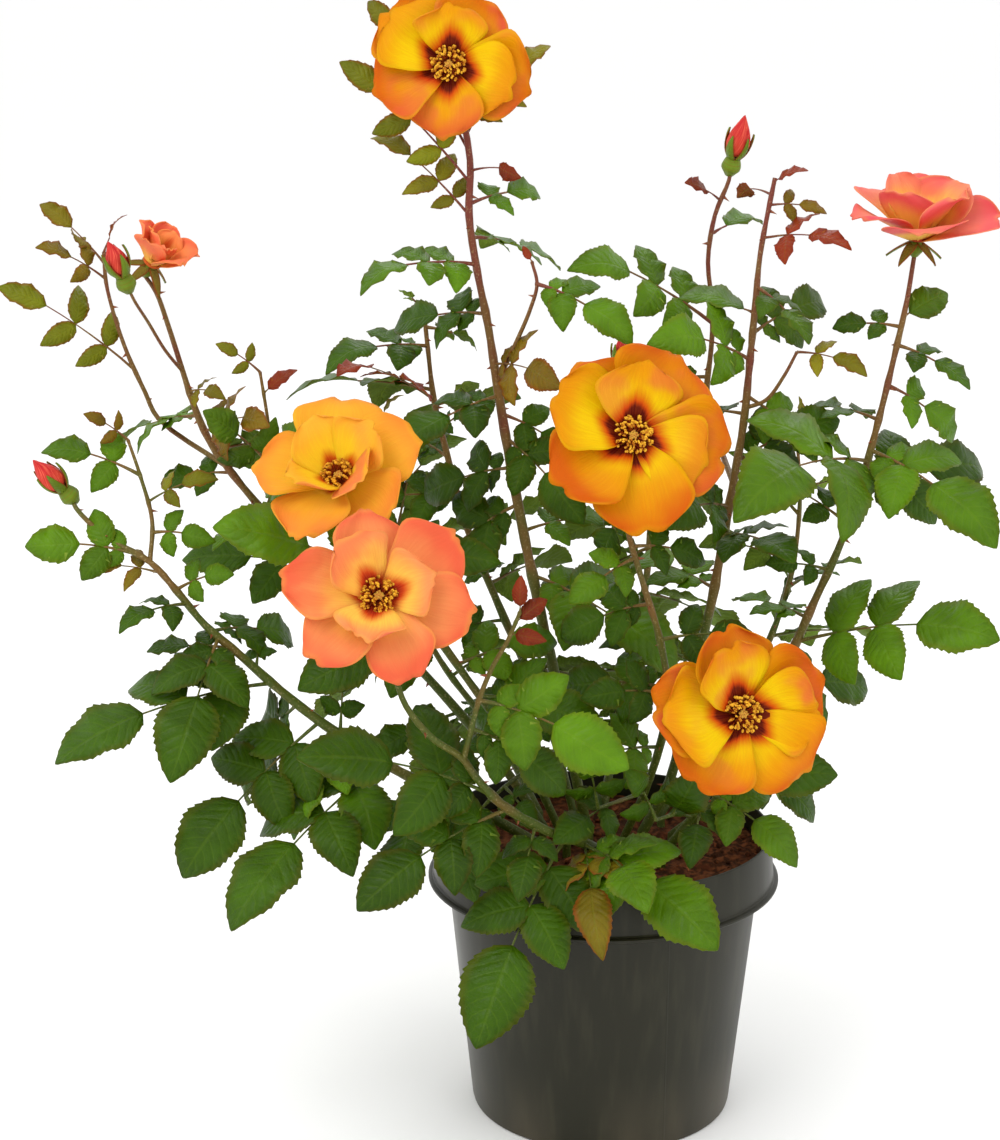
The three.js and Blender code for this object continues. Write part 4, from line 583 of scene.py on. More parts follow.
MOTTLE = new_group("mottle", {"Vector": None, "Patch": 60, "Low": 0.8, "High": 1.2}, mottle_marks)
VEINS = new_group("leaf_veins", {"Map": None}, vein_marks)
PETAL_MARKS = new_group("petal_marks", {"Map": None, "Spot": None, "Petal": None, "Eye": 1}, petal_marks)


def leaf_material(name, layer, side, vein, rough, specular, bump):
    material, spot, own_map = new_material(name, LEAF_TINTS[0][side], 0.4, specular)
    painted = source(material.node_tree, "ShaderNodeAttribute", attribute_name=layer)
    tint = painted["Color"]
    veins = worked("Group", {"Map": own_map}, node_tree=VEINS)
    mottle = worked("Group", {"Vector": spot, "Patch": 55, "Low": 0.78, "High": 1.2}, node_tree=MOTTLE)
    color = layered(
        mix(1, tint, mottle["Shade"], "MULTIPLY"), (veins["Vein"] * vein, mix(0.5, tint, (130, 160, 40))),
        (veins["Edge"] * painted["Alpha"], (150, 46, 20)))
    let_light_through(material, 0.16, mix(0.5, tint, (150, 190, 20)))
    return dressed(material, color, veins["Height"].bump(bump, 0.0011), mottle["Speck"].ramp(0, 1, *rough))


def stem_material():
    """Dark green at the foot, partly the bark's own green and partly painted shade where the low canes stand
    shadowed among the leaves, and reddish brown towards the tips, with pale specks.
    """
    material, spot, _ = new_material("cane_bark", (120, 110, 50), 0.45, 0.25)
    mottle = worked("Group", {"Vector": spot, "Patch": 38, "Low": -0.09, "High": 0.09}, node_tree=MOTTLE)
    level = spot.parts()[2] + mottle["Shade"]
    # The dark green low on the canes is partly their own colour and partly painted shade for canes shadowed
    # in the leaf mass
    color = layered(
        (70, 84, 18), (level.ramp(0.2, 0.36), (112, 82, 36)), (level.ramp(0.36, 0.52), (112, 50, 36)),
        (mottle["Speck"] * 0.35, (176, 160, 110)))
    return dressed(material, color, spot.noise(700, stretch=(1, 1, 0.25)).bump(0.35, 0.0004))


def prickle_material():
    material, spot, _ = new_material("prickle", (120, 48, 34), 0.4, 0.25)
    return dressed(material, mix(spot.noise(300), (104, 34, 28), (168, 104, 60)))


def petal_material(bloom, reverse):
    eye, heart, middle, edge, blush, back = PETAL_TINTS[bloom]
    name = f"petal_{bloom}_reverse" if reverse else f"petal_{bloom}"
    material, spot, own_map = new_material(name, back if reverse else middle, 0.55, 0.1)
    petal = source(material.node_tree, "ShaderNodeAttribute", attribute_name="petal")["Vector"]
    given = {"Map": own_map, "Spot": spot, "Petal": petal, "Eye": BLOOMS[bloom]["eye"]}
    marks = worked("Group", given, node_tree=PETAL_MARKS)
    along = marks["Along"]
    coats = [(along.ramp(-0.05, 0.5), back), (marks["Blush"] * 0.7, blush)] if reverse else [
        (along.ramp(0.12, 0.56), middle), (along.ramp(0.5, 0.95), edge), (marks["Blush"], blush),
        (marks["Glow"] * 0.92, (206, 36, 0)), (marks["Dark Eye"], eye)]
    coats += [(marks["Crease"].ramp(0.35, 0.65) * 0.14, edge), (marks["Rim"] * 0.28, heart)]
    color = layered(heart, *coats)
    let_light_through(material, 0.2, color)
    return dressed(material, color, marks["Crease"].bump(0.35, 0.0012))


def dusty_material(name, color, speck, grain):
    material, spot, _ = new_material(name, color, 0.75, 0.15)
    shade = spot.noise(grain)
    return dressed(material, mix(shade.ramp(0.35, 0.65), color, speck), shade.bump(0.4, 0.0003))


def bud_material():
    material, _, own_map = new_material("bud_petal", (196, 52, 40), 0.5, 0.15)
    crease = own_map.noise(1, 3, (60, 2, 1))
    color = layered(
        (196, 62, 40), (own_map.parts()[1].ramp(0.2, 0.8), (188, 34, 40)),
        (crease.ramp(0.45, 0.7), (226, 96, 72)))
    return dressed(material, color, crease.bump(0.4, 0.0006))


def soil_material(name, dark, light, wood):
    material, spot, _ = new_material(name, dark, 0.95, 0.08)
    fibre = spot.noise(260, 8)
    color = layered(dark, (fibre.ramp(0.4, 0.66), light), (spot.noise(70, 4).ramp(0.56, 0.68), wood))
    return dressed(material, color, fibre.bump(0.9, 0.002))


def pot_material():
    """Black moulded plastic: satin, with lighter vertical streaks painted in as reflections, dusty at the
    foot, a mould line down the front.
    """
    material, spot, _ = new_material("pot_plastic", (32, 31, 20), 0.4, 0.25)
    x, _, z = spot.parts()
    # Lighter vertical streaks: painted reflections on the satin plastic
    reflection_streaks = spot.noise(160, 5, (1, 1, 0.12))
    smear = spot.noise(16, 3, (1, 1, 0.3))
    dust = z.ramp(0.05, 0) * smear.ramp(0.35, 0.7)
    color = layered((33, 32, 19), (reflection_streaks.ramp(0.45, 0.75, 0, 0.35), (56, 54, 38)), (dust * 0.5, (98, 88, 70)))
    line = abs(x - MOULD_LINE[0]).ramp(0, MOULD_LINE[1], 1, 0)
    bumps = (spot.noise(1400) * 0.15 + line).bump(0.25, 0.0006)
    return dressed(material, color, bumps, smear.ramp(0.3, 0.7, 0.3, 0.46))


LEAF_TOP = leaf_material("leaf_upper_side", "tint", 0, 0.2, (0.3, 0.42), 0.15, 0.34)
LEAF_UNDER = leaf_material("leaf_underside", "under_tint", 1, 0.6, (0.62, 0.72), 0.08, 0.5)
BARK = stem_material()
THORN = prickle_material()
FILAMENT = dusty_material("filament", (196, 96, 24), (150, 40, 16), 400)
ANTHER = dusty_material("anther", (236, 184, 52), (170, 98, 16), 480)
STYLE = dusty_material("style", (222, 178, 70), (206, 140, 60), 900)
BUD_SKIN = bud_material()
PEAT = soil_material("peat", (58, 32, 18), (116, 66, 38), (84, 42, 24))
BARK_CHIP = soil_material("bark_chip", (112, 60, 34), (156, 94, 58), (82, 40, 24))
PLASTIC = pot_material()


# Making meshes
def deselect():
    if bpy.context.object and bpy.context.object.mode != "OBJECT":
        bpy.ops.object.mode_set(mode="OBJECT")
    bpy.ops.object.select_all(action="DESELECT")


def activate(*things):
    deselect()
    for thing in things:
        thing.select_set(True)
    bpy.context.view_layer.objects.active = things[0]


def primitive(add, **settings):
    """Adds a primitive by its operator, with nothing else selected."""
    deselect()
    add(**settings)
    return bpy.context.object


def linked(name, data):
    thing = bpy.data.objects.new(name, data)
    bpy.context.collection.objects.link(thing)
    return thing


def stowed(thing):
    """A template, out of the scene until it is copied."""
    bpy.context.collection.objects.unlink(thing)
    return thing


def coated(thing, material):
    thing.data.materials.append(material)
    thing.data.shade_smooth()
    return thing


def apply_modifier(thing, kind, **settings):
    modifier = thing.modifiers.new(kind.lower(), kind)
    for name, value in settings.items():
        setattr(modifier, name, value)
    activate(thing)
    bpy.ops.object.modifier_apply(modifier=modifier.name)


def blade_grid(name, columns, rows):
    """A flat grid one across and one along, with its map, ready to be shaped."""
    blade = primitive(
        bpy.ops.mesh.primitive_grid_add, x_subdivisions=columns, y_subdivisions=rows, size=1,
        location=(0, 0.5, 0))
    blade.name = name
    bpy.ops.object.transform_apply(location=True, rotation=False, scale=False)
    return blade


def give_thickness(blade, thickness, top, under):
    """Turns the sheet into a closed blade whose underside has its own material."""
    blade.data.materials.append(top)
    blade.data.materials.append(under)
    apply_modifier(blade, "SOLIDIFY", thickness=thickness, offset=0, material_offset=1, use_rim=True)
    blade.data.shade_smooth()
    return blade


def copy_of(template, matrix):
    """A copy with its own mesh, moved there in its mesh."""
    mesh = template.data.copy()
    mesh.transform(matrix)
    return linked(template.name, mesh)


def axes_matrix(x, y, z, origin):
    return Matrix((
        (x.x, y.x, z.x, origin.x), (x.y, y.y, z.y, origin.y), (x.z, y.z, z.z, origin.z), (0, 0, 0, 1)))


def flattened(vector, way):
    return (vector - way * vector.dot(way)).normalized()


def side_of(facing):
    return flattened(Vector((0, -1, 0)) if abs(facing.z) > 0.9 else UP, facing)


def faced(thing, facing, center):
    """Turns an upright thing to face that way from that place."""
    zero = side_of(facing)
    thing.data.transform(axes_matrix(facing.cross(zero), zero * -1, facing, center))
    return thing


def set_tint(thing, name, color):
    layer = thing.data.color_attributes.new(name=name, type="FLOAT_COLOR", domain="POINT")
    layer.data.foreach_set("color", list(color) * len(thing.data.vertices))


def joined(name, parts, slot_name, *nodes):
    """Joins parts into one finished piece in metres that stands for the solids named."""
    activate(*parts)
    if len(parts) > 1:
        bpy.ops.object.join()
    piece = bpy.context.object
    piece.name = name
    piece.data.name = name
    piece.data.transform(Matrix.Scale(MM, 4))
    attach(piece, "root")
    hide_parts(*nodes)
    return piece


def tube(name, runs, material, sides=3):
    """Round bars of changing thickness along routes of (point, radius), closed at both ends."""
    curve = bpy.data.curves.new(name, "CURVE")
    curve.dimensions = "3D"
    curve.bevel_depth = 1
    curve.bevel_resolution = sides
    curve.use_fill_caps = True
    for run in runs:
        spline = curve.splines.new("POLY")
        spline.points.add(len(run) - 1)
        for point, (at, radius) in zip(spline.points, run):
            point.co = (*at, 1)
            point.radius = radius
    curve.materials.append(material)
    activate(linked(name, curve))
    bpy.ops.object.convert(target="MESH")
    bar = bpy.context.object
    bar.data.shade_smooth()
    return bar


def turned(name, profile, sides, material):
    """A profile of (radius, height) turned round the upright axis into a closed piece."""
    mesh = bpy.data.meshes.new(name)
    mesh.from_pydata([(r, 0, z) for r, z in profile], [(i, i + 1) for i in range(len(profile) - 1)], [])
    mesh.materials.append(material)
    piece = linked(name, mesh)
    activate(piece)
    bpy.ops.object.mode_set(mode="EDIT")
    bpy.ops.mesh.select_all(action="SELECT")
    bpy.ops.mesh.spin(steps=sides, angle=2 * math.pi, center=(0, 0, 0), axis=(0, 0, 1))
    bpy.ops.mesh.select_all(action="SELECT")
    bpy.ops.mesh.remove_doubles(threshold=1e-4)
    bpy.ops.mesh.normals_make_consistent(inside=False)
    bpy.ops.object.mode_set(mode="OBJECT")
    return piece


# Leaves
def leaflet_outline(share):
    return math.sin(math.pi * share ** 0.78) ** 0.75 if 0 < share < 1 else 0


def leaflet_template(name, teeth, droop, twist, sweep, wave):
    """One toothed leaflet, a half width across and a length along: folded, arched and drooping at its tip."""
    blade = blade_grid(name, 2, teeth)
    activate(blade)
    bpy.ops.object.mode_set(mode="EDIT")
    bpy.ops.mesh.select_mode(type="EDGE")
    bpy.ops.mesh.select_all(action="DESELECT")
    bpy.ops.object.mode_set(mode="OBJECT")
    for edge in blade.data.edges:
        a, b = (blade.data.vertices[i].co for i in edge.vertices)
        edge.select = abs(a.x) > 0.49 and abs(b.x) > 0.49 and abs(a.x - b.x) < 0.1
    bpy.ops.object.mode_set(mode="EDIT")
    bpy.ops.mesh.subdivide(number_cuts=1, ngon=True)
    bpy.ops.object.mode_set(mode="OBJECT")
    for vertex in blade.data.vertices:
        across, along = vertex.co.x * 2, vertex.co.y
        step = along * teeth
        is_tooth = abs(step - round(step)) > 0.3
        if is_tooth:
            along += LEAFLET["lean"] / teeth
        rim = leaflet_outline(along) * LEAFLET["tooth" if is_tooth else "notch"]
        if is_tooth and along < 0.93:
            rim += LEAFLET["spur"]
        width = across * max(rim, LEAFLET["foot" if along < 0.5 else "tip"])
        fold = abs(width) * (1.1 - 0.35 * abs(width)) * LEAFLET["fold"]
        arch = LEAFLET["arch"] * 4 * along * (1 - along)
        bend = -droop * max(0, along - 0.35) ** 2
        roll = twist * along * width + wave * math.sin(along * 17 + across) * abs(width)
        vertex.co = (width + sweep * along * along, along, fold + arch + bend + roll)
    return stowed(give_thickness(blade, LEAFLET["thickness"], LEAF_TOP, LEAF_UNDER))


FINE_LEAFLETS = [
    leaflet_template(f"leaflet_{i}", 13, *bends, 0.03) for i, bends in enumerate(
        [(0.12, 0.05, 0.1), (0.42, -0.06, -0.14), (0.28, 0.1, 0.2), (0.02, -0.09, 0), (0.55, 0.04, -0.08)])
]
PLAIN_LEAFLETS = [
    leaflet_template(f"small_leaflet_{i}", 7, *bends, 0.05)
    for i, bends in enumerate([(0.2, 0.1, 0.12), (0.5, -0.1, -0.1), (0.05, 0.04, 0.2)])
]


def light_at(tip):
    outward, forward = LIGHT["front"] if tip.y < LIGHT["border"] else LIGHT["back"]
    out = Vector((tip.x, tip.y, 0)).normalized()
    return (out * outward + Vector((0, -forward, LIGHT["up"]))).normalized()


def leaf_plan(start, tip, leaflets, size, roll, number):
    """A leaf's rib and its leaflets as (foot, way, upper side's normal, length), the end one first."""
    span = tip - start
    reach = span.length
    share = max(RIB_SHARE[leaflets], 1 - size / reach)
    light = light_at(tip)
    joint = start + span * share + UP * (RACHIS["lift"] * reach * share)
    bend = start.lerp(joint, 0.5) + UP * (RACHIS["lift"] * reach * 0.5 * share)

    def rib(t):
        return start * (1 - t) ** 2 + bend * (2 * t * (1 - t)) + joint * t * t

    def face(way):
        return Quaternion(way, math.radians(roll)) @ flattened(light, way)

    way = tip - joint
    length = way.length
    way.normalize()
    plan = [(joint, way, face(way), length)]
    pairs = list(enumerate(RIB_PAIRS[leaflets]))
    ends = [spot for spot, _ in RIB_PAIRS[leaflets]] + [1]
    if leaflets == 3 and reach > LOWEST_PAIR["least_reach"]:
        pairs.append((-1, LOWEST_PAIR["pair"]))
    for pair, (spot, part) in pairs:
        run = ((joint - bend) * spot + (bend - start) * (1 - spot)).normalized()
        normal = face(run)
        room = PAIRS["room"] * reach * share * (ends[pair + 1] - spot)
        for hand in (1, -1):
            mark = number * 7 + pair * 2 + hand
            angle = RACHIS["spread"] + RACHIS["uneven"] * (draw(mark) - 0.5)
            out = Quaternion(normal, math.radians(angle * hand)) @ run
            out = (out + UP * (-PAIRS["droop"] - PAIRS["uneven"] * draw(mark + 3))).normalized()
            wanted = length * part * (1 + PAIRS["uneven"] * (draw(mark + 5) - 0.5))
            plan.append((rib(spot), out, flattened(normal, out), min(room, wanted)))
    return rib, plan


def leaf_parts(plan, look, number):
    parts = []
    for i, (foot, way, normal, length) in enumerate(plan):
        mark = number * 13 + i
        family = FINE_LEAFLETS if length >= LARGE else PLAIN_LEAFLETS
        template = family[int(draw(mark) * len(family)) % len(family)]
        width = (LEAFLET["young_half_width"] if look > 2 else LEAFLET["half_width"]) * length
        side = way.cross(normal)
        parts.append(copy_of(template, axes_matrix(side * width, way * length, normal * length, foot)))
        shade = LEAF_SHADE["least"] + LEAF_SHADE["range"] * draw(mark + 11)
        blend = LEAF_SHADE["drift"] * draw(number + 17)
        other = LEAF_TINTS[min(look + 1, 4) if look > 2 else (look + 1) % 3]
        for attribute, own, near in zip(("tint", "under_tint"), LEAF_TINTS[look][:2], other):
            mixed = [a * (1 - blend) + b * blend for a, b in zip(own, near)]
            shown = [shade * value for value in paint(mixed)[:3]]
            set_tint(parts[-1], attribute, [*shown, LEAF_TINTS[look][2]])
    return parts


# Stems, prickles and what holds a flower
def prickle_template():
    thorn = primitive(
        bpy.ops.mesh.primitive_cone_add, vertices=6, radius1=1, radius2=0.05, depth=1, location=(0, 0, 0.5))
    bpy.ops.object.transform_apply(location=True, rotation=False, scale=False)
    apply_modifier(thorn, "TRIANGULATE")
    return stowed(coated(thorn, THORN))


def sepal_template(name, droop, belly):
    """One long pointed sepal, with a keel along it, that droops at its tip or bellies out round a bud."""
    blade = blade_grid(name, 2, 8)
    for vertex in blade.data.vertices:
        across, along = vertex.co.x * 2, vertex.co.y
        width = SEPAL["width"] * math.sin(math.pi * (0.16 + 0.84 * along) ** 0.7) ** 0.8 + LEAFLET["tip"]
        if along > 0.97:
            width = LEAFLET["tip"]
        bend = -droop * along * along - belly * 4 * along * (1 - along)
        vertex.co = (across * width, along, SEPAL["keel"] * abs(across) + bend)
    return stowed(give_thickness(blade, SEPAL["thickness"], LEAF_UNDER, LEAF_TOP))


PRICKLE_TEMPLATE = prickle_template()
OPEN_SEPAL = sepal_template("sepal", SEPAL["droop"], 0)
CLOSED_SEPAL = sepal_template("closed_sepal", 0, SEPAL["belly"])


def calyx_parts(seat, facing, sepal, lift, long, swell, seed):
    """The swollen hip under a flower and its five sepals."""
    radius, length = HIP["radius"] * swell, HIP["length"] * swell
    profile = [(radius * wide, -length * deep) for wide, deep in HIP_PROFILE]
    profile += [(radius * 0.76, -1.6), (radius * 0.72, -0.6), (0, -0.5)]
    hip = faced(turned("hip", profile, 16, LEAF_TOP), facing, seat)
    hip.data.shade_smooth()
    hip.data.uv_layers.new(name="UVMap")
    zero = side_of(facing)
    parts = [hip]
    for i in range(SEPAL["count"]):
        turn = 360 * (i + 0.5) / SEPAL["count"] + SEPAL["stray"] * (draw(seed + i) - 0.5)
        out = Quaternion(facing, math.radians(turn)) @ zero
        angle = math.radians(lift + SEPAL["lift_stray"] * (draw(seed + i + 9) - 0.5))
        way = out * math.cos(angle) + facing * math.sin(angle)
        normal = facing * math.cos(angle) - out * math.sin(angle)
        reach = long * (0.85 + SEPAL["uneven"] * draw(seed + i + 3))
        foot = seat + facing * -1.5 + out * (radius * 0.5)
        side = way.cross(normal)
        parts.append(copy_of(sepal, axes_matrix(side * reach, way * reach, normal * reach, foot)))
    for part in parts:
        for layer, (color, red_rim) in CALYX_TINTS.items():
            set_tint(part, layer, [*paint(color)[:3], red_rim])
    return parts


def stem_run(shoot, route, leaves):
    start, end = shoot["thick"]
    count = route.steps * STEM["samples"]
    nodes = [leaf[0] / route.spans for leaf in leaves]
    run = []
    if "foot" in shoot:
        x, y = shoot["foot"]
        run.append((Vector((x, y, SOIL["level"] - STEM["hole_depth"] + GAP)), start * 1.05))
    for i in range(count + 1):
        share = i / count
        near = min([abs(share - node) for node in nodes] or [1]) * count
        swell = 1 + STEM["node_swell"] * max(0, 1 - near)
        run.append((route.at(share), (start + (end - start) * share) * swell))
    return run


def prickle_parts(shoot, route):
    start, end = shoot["thick"]
    count = int(route.length() / PRICKLE["spacing"])
    parts = []
    for i in range(1, count):
        share = (i + 0.5 * (draw(i * 3 + len(shoot["route"])) - 0.5)) / count
        along = route.way(share)
        thick = start + (end - start) * share
        out = Quaternion(along, i * 2.4) @ Vector((0.3, 0.2, 1)).cross(along).normalized()
        way = (out - along * PRICKLE["hook"]).normalized()
        side = way.cross(along).normalized()
        long = PRICKLE["length"] * (PRICKLE["least"] + PRICKLE["uneven"] * draw(i + 40))
        wide = min(PRICKLE["radius"], thick) * 0.8
        foot = route.at(share) + out * (thick * 0.7)
        matrix = axes_matrix(side * (wide * 0.5), side.cross(way) * -wide, way * long, foot)
        parts.append(copy_of(PRICKLE_TEMPLATE, matrix))
    return parts


def flower_seat_parts(shoot, number):
    if "bloom" in shoot:
        bloom = BLOOMS[shoot["bloom"]]
        facing = heading(bloom["faces"])
        seat = place(*bloom["at"]) - facing * (PETAL["hub_depth"] / 2 + GAP)
        return calyx_parts(seat, facing, OPEN_SEPAL, SEPAL["open"], SEPAL["length"], 1, number)
    if "bud" in shoot:
        bud = BUDS[shoot["bud"]]
        facing = heading(bud["faces"])
        seat = place(*bud["at"]) - facing * GAP
        long = SEPAL["length"] * SEPAL["young"]
        return calyx_parts(seat, facing, CLOSED_SEPAL, SEPAL["closed"], long, HIP["bud_swell"], number)
    return []


def grow_canes():
    routes, owners, parts = {}, {}, {}
    number = 0
    for shoot in SHOOTS:
        name = shoot["name"]
        points, leaves = settled(shoot)
        route = routes[name] = shoot_route(shoot, points, routes)
        owners[name] = owners[shoot["parent"]] if "parent" in shoot else name
        owned = parts.setdefault(owners[name], [])
        runs = [stem_run(shoot, route, leaves)]
        owned += prickle_parts(shoot, route)
        for start, tip, leaflets, size, roll, look in leaves:
            number += 1
            rib, plan = leaf_plan(route.spot(start), tip, leaflets, size, roll, number)
            thin = 0.7 if look > 2 else 1
            run = [(route.at(start / route.spans), RACHIS["foot"] * thin)]
            for i in range(1, RACHIS["pieces"] + 1):
                radius = RACHIS["foot"] + (RACHIS["end"] - RACHIS["foot"]) * min(1, i / 4)
                run.append((rib(i / RACHIS["pieces"]), radius * thin))
            runs.append(run)
            owned += leaf_parts(plan, look, number)
        owned.append(tube(f"stem_{name}", runs, BARK))
        owned += flower_seat_parts(shoot, number)
    for cane, pieces in parts.items():
        joined(f"leafy_{cane}", pieces, "leaf", cane)


# Flowers
def petal_part(center, facing, turn, ring, reach, seed, gold, materials):
    """One petal: cupped, notched and ruffled, rising from its claw at one angle and ending at another."""
    _, long, wide, rise, edge, _ = ring
    out = Quaternion(facing, math.radians(turn)) @ side_of(facing)
    side = facing.cross(out)
    rows, columns = PETAL["rows"], PETAL["columns"]
    step = (reach * long - PETAL["start"]) / rows
    lean = math.sin(math.radians(PETAL["pinwheel"]))
    blade = blade_grid("petal", columns, rows)
    spine = []
    run, height = PETAL["start"], 0
    full_curl = math.radians(PETAL["curl"] + PETAL["curl_range"] * draw(seed + 2))
    nod = PETAL["nod"] * math.cos(math.radians(rise)) * (draw(seed + 5) - 0.5)
    for i in range(rows + 1):
        angle = math.radians(rise + nod + (edge - rise) * min(1, i / rows + 0.16))
        curl = full_curl * max(0, i / rows - PETAL["curl_from"]) / (1 - PETAL["curl_from"])
        if i > 0:
            run += math.cos(angle - curl) * step
            height += math.sin(angle - curl) * step
        spine.append((run, height, facing * math.cos(angle) - out * math.sin(angle)))
    marks = []
    blush = draw(seed + 23) ** 2
    notch_depth, notch_side = 0.2 + draw(seed + 41), 0.5 * (draw(seed + 43) - 0.5)
    for vertex in blade.data.vertices:
        across, along = vertex.co.x * -2, vertex.co.y
        run, height, normal = spine[round(along * rows)]
        half = between(PETAL_WIDTHS, along) * wide * reach * (1 + 0.05 * math.sin(seed + along * 5))
        half *= 1 + PETAL["wave"] * math.sin(seed * 3 + along * 13) * (1 if across > 0 else -1)
        half *= 1 - PETAL["pull"] * along ** 8
        notch = PETAL["notch"] * notch_depth * max(0, 1 - abs(across - notch_side) * 3.4)
        wave = PETAL["wave"] * math.sin(across * 4.2 + seed)
        back = reach * along ** 4 * (PETAL["round"] * across * across + notch + wave)
        spot = Vector((across * 1.7 + seed * 3.1, along * 1.8, seed * 0.7))
        ruffle = PETAL["ruffle"] * noise.noise(spot) * along * (0.4 + abs(across))
        ripple = PETAL["ripple"] * math.sin(across * 7 + seed * 2) * along ** 3
        lift = half * across * (PETAL["cup"] * across + lean) + ruffle + ripple
        vertex.co = center + out * (run - back) + side * (half * across) + facing * height + normal * lift
        marks += [math.hypot(run - back, half * across), gold, blush]
    layer = blade.data.attributes.new("petal", "FLOAT_VECTOR", "POINT")
    layer.data.foreach_set("vector", marks)
    return give_thickness(blade, PETAL["thickness"], *materials)


def knob(at, radii, material, segments, rings):
    ball = primitive(bpy.ops.mesh.primitive_uv_sphere_add, segments=segments, ring_count=rings, radius=1)
    ball.data.transform(Matrix.Translation(at) @ Matrix.Diagonal((*radii, 1)))
    return coated(ball, material)


def fused(*parts):
    activate(*parts)
    bpy.ops.object.join()
    return stowed(parts[0])


def stamen_template():
    """A thread that carries a two-lobed anther, one long."""
    run = [(Vector((0, 0, 0)), 0.035), (Vector((0, 0.05, 0.5)), 0.026), (Vector((0, 0, 1)), 0.02)]
    lobes = [knob((hand * 0.05, 0, 1), (0.09, 0.085, 0.13), ANTHER, 5, 4) for hand in (1, -1)]
    return fused(tube("stamen", [run], FILAMENT, 0), *lobes)


def style_template():
    rod = tube("style", [[(Vector((0, 0, 0)), 0.07), (Vector((0, 0, 0.8)), 0.06)]], STYLE, 0)
    return fused(rod, knob((0, 0, 0.88), (0.17, 0.17, 0.13), STYLE, 8, 5))


STAMEN_TEMPLATE = stamen_template()
STYLE_TEMPLATE = style_template()


def stood(template, foot, way, long, wide):
    """A copy that stands on a point along a way."""
    side = way.cross(Vector((0.31, 0.87, 0.12))).normalized()
    return copy_of(template, axes_matrix(side * wide, way.cross(side) * wide, way * long, foot))


def stamen_parts(bloom, seed, scale):
    facing = heading(bloom["faces"])
    zero = side_of(facing)
    center = place(*bloom["at"]) + facing * (PETAL["hub_depth"] / 2 + GAP)
    parts = []
    for i in range(STAMEN["count"]):
        turn = i * GOLDEN_TURN + 0.9 * (draw(seed + i * 3) - 0.5)
        ring = (i + draw(seed + i * 5)) / STAMEN["count"]
        out = Quaternion(facing, turn) @ zero
        foot = center + out * (STAMEN["foot"] + 0.7 * draw(seed + i)) * scale
        reach = STAMEN["reach"] * (0.34 + 0.62 * ring ** 0.8) * scale
        rise = STAMEN["rise"] * (1.06 - 0.5 * ring + 0.16 * draw(seed + i + 5)) * scale
        top = center + out * reach + facing * rise
        long = (top - foot).length
        wide = (5.5 + 4 * draw(seed + i + 11)) * scale
        parts.append(stood(STAMEN_TEMPLATE, foot, (top - foot).normalized(), long, wide))
    for i in range(STAMEN["styles"]):
        out = Quaternion(facing, i * GOLDEN_TURN) @ zero
        spread = STAMEN["foot"] * ((i + 0.3) / STAMEN["styles"]) ** 0.5 * scale
        way = (facing + out * (0.12 * spread)).normalized()
        parts.append(stood(STYLE_TEMPLATE, center + out * spread * 0.7, way, 4.6 * scale, 4.2 * scale))
    return parts


def receptacle(center, facing, material):
    """The small disc that the petals' claws stand on."""
    half = PETAL["hub_depth"] / 2
    profile = [(0, -half), (4.6, -half), (5.2, 0), (4.6, half), (0, half)]
    disc = faced(turned("receptacle", profile, 20, material), facing, center)
    disc.data.uv_layers.new(name="UVMap")
    disc.data.shade_smooth()
    return disc


def open_blooms():
    for seed, (name, bloom) in enumerate(BLOOMS.items(), 1):
        center = place(*bloom["at"])
        facing = heading(bloom["faces"])
        materials = (petal_material(name, False), petal_material(name, True))
        petals = [receptacle(center, facing, materials[0])]
        for r, ring in enumerate(bloom["rings"]):
            level = center + facing * (PETAL["layer"] if r else -PETAL["layer"])
            for i in range(ring[0]):
                mark = seed * 40 + r * 10 + i
                turn = ring[5] + 360 * i / ring[0] + PETAL["stray"] * (draw(mark) - 0.5)
                reach = bloom["reach"] * (0.9 + PETAL["uneven"] * draw(mark + 7))
                gold = 0.85 if r else 0.5 * draw(mark + 31)
                petals.append(petal_part(level, facing, turn, ring, reach, mark, gold, materials))
        joined(f"petals_{name}", petals, f"petal_{bloom['tone']}", f"bloom_{name}")
        scale = STAMEN["young"]
        if bloom["rings"][0][3] < 30:
            scale = min(1, 0.55 + 0.45 * bloom["reach"] / STAMEN["full_bloom"])
        joined(f"anthers_{name}", stamen_parts(bloom, seed * 60, scale), "anther", f"stamens_{name}")


def close_buds():
    """Furled petals that wrap round each other, each edge standing out along a rising spiral."""
    for name, bud in BUDS.items():
        body = primitive(bpy.ops.mesh.primitive_uv_sphere_add, segments=48, ring_count=24, radius=1)
        long, radius = bud["long"], bud["radius"]
        for vertex in body.data.vertices:
            x, y, z = vertex.co
            share = 1 - math.acos(max(-1, min(1, z))) / math.pi
            turn = math.atan2(y, x) + share * BUD["turn"]
            lap = (turn * BUD["laps"] / (2 * math.pi) + share * 0.5) % 1
            swell = 1 - 0.2 * lap * (0.4 + share)
            wide = between(BUD["girth"], share) * radius * swell if 0 < share < 1 else 0
            rise = share * long * (1 - 0.03 * lap * share)
            vertex.co = (math.cos(turn) * wide, math.sin(turn) * wide, rise)
        faced(coated(body, BUD_SKIN), heading(bud["faces"]), place(*bud["at"]))
        joined(f"furled_{name}", [body], "bud", name)


